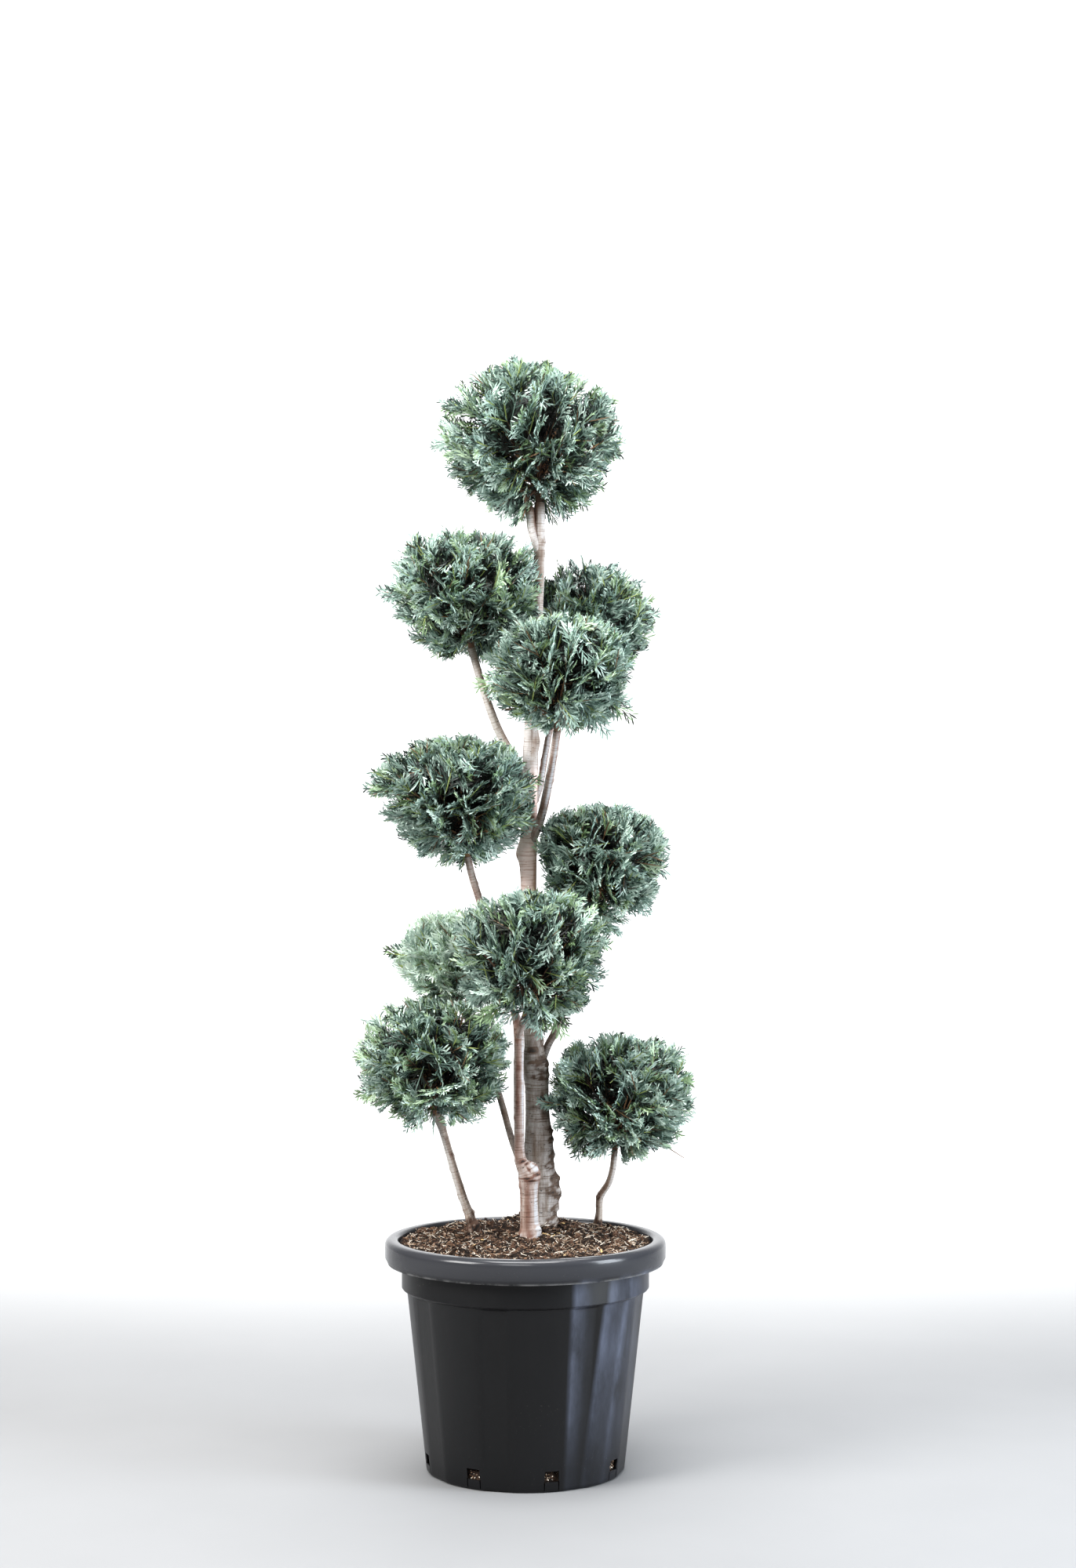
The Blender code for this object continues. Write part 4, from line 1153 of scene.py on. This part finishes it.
def pot_profile():
    """The profile of the pot, up its outside, over the rim and down its inside."""
    return [
        (0, 0), (FOOT_RADIUS, 0),
        (FOOT_RADIUS + 0.0022, 0.0012), (BASE_RADIUS - 0.0004, 0.0034), (BASE_RADIUS, BASE_CHAMFER),
        (BODY_TOP_RADIUS - 0.0002, BODY_TOP - 0.002), (BODY_TOP_RADIUS + 0.0008, BODY_TOP),
        (COLLAR_RADIUS - 0.0012, COLLAR_BOTTOM - 0.001), (COLLAR_RADIUS, COLLAR_BOTTOM + 0.0005),
        (COLLAR_RADIUS, COLLAR_TOP - 0.0015), (COLLAR_RADIUS + 0.0012, COLLAR_TOP),
        (RIM_RADIUS - 0.006, COLLAR_TOP - 0.001), (RIM_RADIUS - 0.0052, COLLAR_TOP - 0.0022),
        (RIM_RADIUS - 0.0042, COLLAR_TOP - 0.0020), (RIM_RADIUS - 0.0034, COLLAR_TOP + 0.0006),
        (RIM_RADIUS - 0.0004, COLLAR_TOP + 0.006),
        *arc((RIM_RADIUS - RIM_ROUND, RIM_TOP - RIM_ROUND), RIM_ROUND, 0, 90, 9),
        *arc((MOUTH_RADIUS + MOUTH_ROUND, RIM_TOP - MOUTH_ROUND), MOUTH_ROUND, 90, 180, 6),
        (MOUTH_RADIUS - 0.002, COLLAR_TOP + 0.006),
        (COLLAR_RADIUS - POT_WALL, COLLAR_TOP), (COLLAR_RADIUS - POT_WALL, COLLAR_BOTTOM),
        (BODY_TOP_RADIUS - POT_WALL, BODY_TOP - POT_WALL),
        (BASE_RADIUS - POT_WALL, FLOOR_THICKNESS), (0, FLOOR_THICKNESS),
    ]


def slot_cutter():
    """Boxes that cut the drain slots, and a thin groove on either side of each."""
    slots = bmesh.new()
    for number in range(SLOT_COUNT):
        angle = SLOT_PHASE + number * tau / SLOT_COUNT
        outward = Vector((sin(angle), -cos(angle), 0))
        across = Vector((cos(angle), sin(angle), 0))
        parts = [(0, SLOT_WIDTH / 2, SLOT_BOTTOM, SLOT_BOTTOM + SLOT_HEIGHT, 0.015)]
        groove = SLOT_WIDTH / 2 + 0.0001
        groove_top = SLOT_BOTTOM + 0.001
        parts += [(shift, 0.0008, 0.0022, groove_top, 0.0032) for shift in (-groove, groove)]
        for shift, half, low, high, depth in parts:
            middle = outward * (BASE_RADIUS + 0.0008) + across * shift
            for vert in bmesh.ops.create_cube(slots, size=2)["verts"]:
                x, y, z = vert.co
                vert.co = middle + outward * x * depth + across * y * half
                vert.co.z = (low + high) / 2 + z * (high - low) / 2
    return add_shape("slot_cutter", slots)


def make_pot(material):
    pot = turned("pot_shell", pot_profile(), material)
    cutter = slot_cutter()
    modifier = pot.modifiers.new("Slots", "BOOLEAN")
    modifier.operation = "DIFFERENCE"
    modifier.solver = "EXACT"
    modifier.use_self = True
    modifier.object = cutter
    bpy.context.view_layer.update()
    cut = pot.evaluated_get(bpy.context.evaluated_depsgraph_get())
    shape = bpy.data.meshes.new_from_object(cut)
    pot.modifiers.clear()
    pot.data = shape
    bpy.data.objects.remove(cutter)
    pot.data.shade_smooth()
    pot.data.set_sharp_from_angle(angle=PLASTIC_SHARP_ANGLE)
    finish_piece(pot, "pot_plastic", "pot")


def soil_clumps(x, y):
    return noise.noise(Vector((x * 95, y * 95, 5.1)))


def soil_height(x, y):
    """The uneven top of the potting mix, mounded behind the stems."""
    slope = min(1.0, max(0.0, (hypot(x, y) - 0.145) / 0.034))
    mound = 0.016 * exp(-((x - 0.002) ** 2 + (y - 0.080) ** 2) / 0.0034)
    mound += 0.004 * exp(-((x - 0.01) ** 2 + (y - 0.02) ** 2) / 0.004)
    rough = 0.0080 * noise.noise(Vector((x * 36, y * 36, 1.7))) + 0.0085 * soil_clumps(x, y)
    return SOIL_LEVEL - 0.0015 - EDGE_DROP * slope + mound * (1 - slope) + rough * (1 - 0.5 * slope)


def soil_ring(radius):
    """Points round the axis of the potting mix."""
    angles = [side * tau / SOIL_SIDES for side in range(SOIL_SIDES)]
    return [(radius * cos(angle), radius * sin(angle)) for angle in angles]


def make_soil(material):
    """The potting mix: an uneven top over a body that fills the pot."""
    edge = MOUTH_RADIUS - 0.0010
    floor = FLOOR_THICKNESS + 0.0004
    points = [(0, 0, soil_height(0, 0))]
    for ring in range(1, SOIL_RINGS + 1):
        points += [(x, y, soil_height(x, y)) for x, y in soil_ring(edge * ring / SOIL_RINGS)]
    for radius, height in (
        (COLLAR_RADIUS - POT_WALL - 0.001, COLLAR_TOP - 0.004),
        (BODY_TOP_RADIUS - POT_WALL - 0.003, BODY_TOP - 0.006),
        ((BASE_RADIUS - POT_WALL) * cos(PANEL_WIDTH / 2) - 0.001, floor),
    ):
        points += [(x, y, height) for x, y in soil_ring(radius)]
    last = len(points)
    points.append((0, 0, floor))
    faces = (ring_faces((last - 1) // SOIL_SIDES, SOIL_SIDES) + 1).tolist()
    for k in range(SOIL_SIDES):
        ahead = (k + 1) % SOIL_SIDES
        faces += [(0, 1 + k, 1 + ahead), (last, last - SOIL_SIDES + ahead, last - SOIL_SIDES + k)]
    finish_piece(add_smooth("potting_mix", points, faces, material), "potting_mix", "soil")


def chip(dice, place, length, width, thick, tilt):
    """One flake: a skewed flat box with a pinched end, turned at random."""
    turn = dice.uniform(0, tau)
    forward = np.array((cos(turn) * cos(tilt), sin(turn) * cos(tilt), sin(tilt)))
    side = unit(np.cross(UP, forward)[None])[0]
    roll = dice.normal(0, 0.5)
    face = np.cross(forward, side)
    side, face = side * cos(roll) + face * sin(roll), face * cos(roll) - side * sin(roll)
    pinch = dice.uniform(0.2, 0.9)
    corners = []
    for x, scale in ((-0.5, 1.0), (0.5, pinch)):
        for y in (-0.5, 0.5):
            for z in (-0.5, 0.5):
                corner = forward * x * length + side * y * width * scale + face * z * thick
                corners.append(place + corner)
    return corners


CHIP_FACES = np.array((
    (0, 1, 3, 2), (4, 6, 7, 5), (0, 4, 5, 1), (2, 3, 7, 6), (0, 2, 6, 4), (1, 5, 7, 3)))


def make_chips(materials):
    """Bark chips, straw-like fibres and a few pale flakes over the whole mix."""
    dice = np.random.default_rng(CHIP_SEED)
    points, faces, slots = [], [], []

    def put(place, length, width, thick, tilt, slot):
        faces.extend((CHIP_FACES + len(points)).tolist())
        points.extend(chip(dice, place, length, width, thick, tilt))
        slots.extend([slot] * len(CHIP_FACES))

    for _ in range(CHIP_COUNT):
        radius = (MOUTH_RADIUS - 0.006) * sqrt(dice.random())
        angle = dice.uniform(0, tau)
        x, y = radius * cos(angle), radius * sin(angle)
        place = np.array((x, y, soil_height(x, y) + dice.uniform(-0.0006, 0.0012)))
        kind = dice.random()
        # Chips and fibres in the hollows of the mix take one colour darker: painted shade.
        sunk = int(soil_clumps(x, y) < -0.10)
        if kind < CHIP_KINDS[0]:
            length = dice.uniform(0.0025, 0.0070)
            width, thick = length * dice.uniform(0.35, 0.8), dice.uniform(0.0008, 0.002)
            tilt, shade = dice.normal(0, 0.4), int(dice.choice(3, p=CHIP_ODDS))
            put(place, length, width, thick, tilt, max(0, shade - sunk))
        elif kind < CHIP_KINDS[1]:
            length, width = dice.uniform(0.004, 0.013), dice.uniform(0.0005, 0.0009)
            tilt, shade = dice.normal(0, 0.35), int(dice.choice((2, 3, 4), p=FIBRE_ODDS))
            put(place, length, width, 0.0005, tilt, shade - sunk)
        else:
            length, width = dice.uniform(0.006, 0.011), dice.uniform(0.002, 0.004)
            put(place, length, width, 0.001, dice.normal(0, 0.25), 5)
    inside = (BASE_RADIUS - POT_WALL) * cos(PANEL_WIDTH / 2) - 0.0008
    for number in range(SLOT_COUNT):
        for _ in range(SLOT_CHIPS):
            angle = SLOT_PHASE + number * tau / SLOT_COUNT + dice.uniform(-0.072, 0.072)
            height = SLOT_BOTTOM + dice.uniform(0.0005, SLOT_HEIGHT - 0.0005)
            place = np.array((inside * sin(angle), -inside * cos(angle), height))
            length, width = dice.uniform(0.003, 0.006), dice.uniform(0.001, 0.003)
            put(place, length, width, 0.001, dice.normal(0, 0.7), int(dice.choice(5)))
    finish_piece(add_mesh("bark_chips", points, faces, materials, slots), "potting_mix")


def stage_material():
    """Pale paint, which gets paler toward the backdrop."""
    shader = Shader("backdrop_paint", (0.74, 0.742, 0.745), 0.85, 0.15)
    grain = shader.noise(3, 3, 3, 0.5)
    near = shader.ramp(grain, ((0.3, (0.505, 0.508, 0.513)), (0.7, (0.515, 0.518, 0.523))))
    inputs = {"From Min": 0.5, "From Max": 3.0, "Value": shader.coordinate("Y")}
    far = shader.add("ShaderNodeMapRange", inputs, interpolation_type="SMOOTHSTEP")
    shader.paint(shader.mix(far.outputs["Result"], near, (0.84, 0.842, 0.845)))
    return shader.material


def make_stage():
    """A plain pale floor that sweeps up to a backdrop, and large soft lights."""
    profile = [(y, 0.0) for y in np.linspace(-STAGE_REACH, SWEEP, 12)]
    profile += arc((SWEEP, SWEEP), SWEEP, degrees(0.1) - 90, 0, 14)
    profile += [(2 * SWEEP, z) for z in np.linspace(SWEEP + 1, STAGE_TOP, 5)]
    points = [(x, y, z - 0.0005) for y, z in profile for x in (-STAGE_REACH, STAGE_REACH)]
    strips = [(2 * k, 2 * k + 1, 2 * k + 3, 2 * k + 2) for k in range(len(profile) - 1)]
    add_mesh("floor", points, strips, [stage_material()], smooth=True)
    world = bpy.data.worlds.new("studio")
    bpy.context.scene.world = world
    world.use_nodes = True
    background = world.node_tree.nodes["Background"]
    background.inputs["Color"].default_value = (1, 1, 1, 1)
    background.inputs["Strength"].default_value = WORLD_STRENGTH
    for name, place, aim, width, height, power, tint in LIGHTS:
        data = bpy.data.lights.new(name, "AREA")
        data.energy = power
        data.shape = "RECTANGLE"
        data.size = width
        data.size_y = height
        data.color = tint
        lamp = add_object(name, data)
        lamp.location = place
        lamp.rotation_euler = (Vector(aim) - Vector(place)).to_track_quat("-Z", "Y").to_euler()
    bpy.context.scene.view_settings.view_transform = "Standard"


def make_camera():
    data = bpy.data.cameras.new("camera")
    data.lens = CAMERA_LENS
    data.sensor_width = CAMERA_SENSOR
    camera = add_object("camera", data)
    camera.location = CAMERA_PLACE
    camera.rotation_euler = (radians(90), 0, 0)
    bpy.context.scene.camera = camera


def main():
    make_camera()
    make_stage()
    barks = {name: bark_material(name, *colours) for name, colours in BARKS.items()}
    make_pot(pot_material())
    make_soil(soil_material())
    make_chips(plain_materials("chip", CHIP_COLOURS, 0.85, 0.3))
    for limb in LIMBS:
        make_limb(limb, barks)
    foliage = plain_materials("leaf", COOL + WARM + EXTRA, 0.55, 0.45)
    twig_bark = plain_materials("twig_bark", TWIG_COLOURS, 0.8, 0.3)
    templates = [spray_template(number) for number in range(TEMPLATE_COUNT)]
    samples = np.concatenate([route(limb, SAMPLE_SPACING) for limb in LIMBS])
    for number, pompon in enumerate(POMPONS):
        make_pompon(pompon, number, templates, foliage, twig_bark, samples)


main()
bpy.context.view_layer.update()
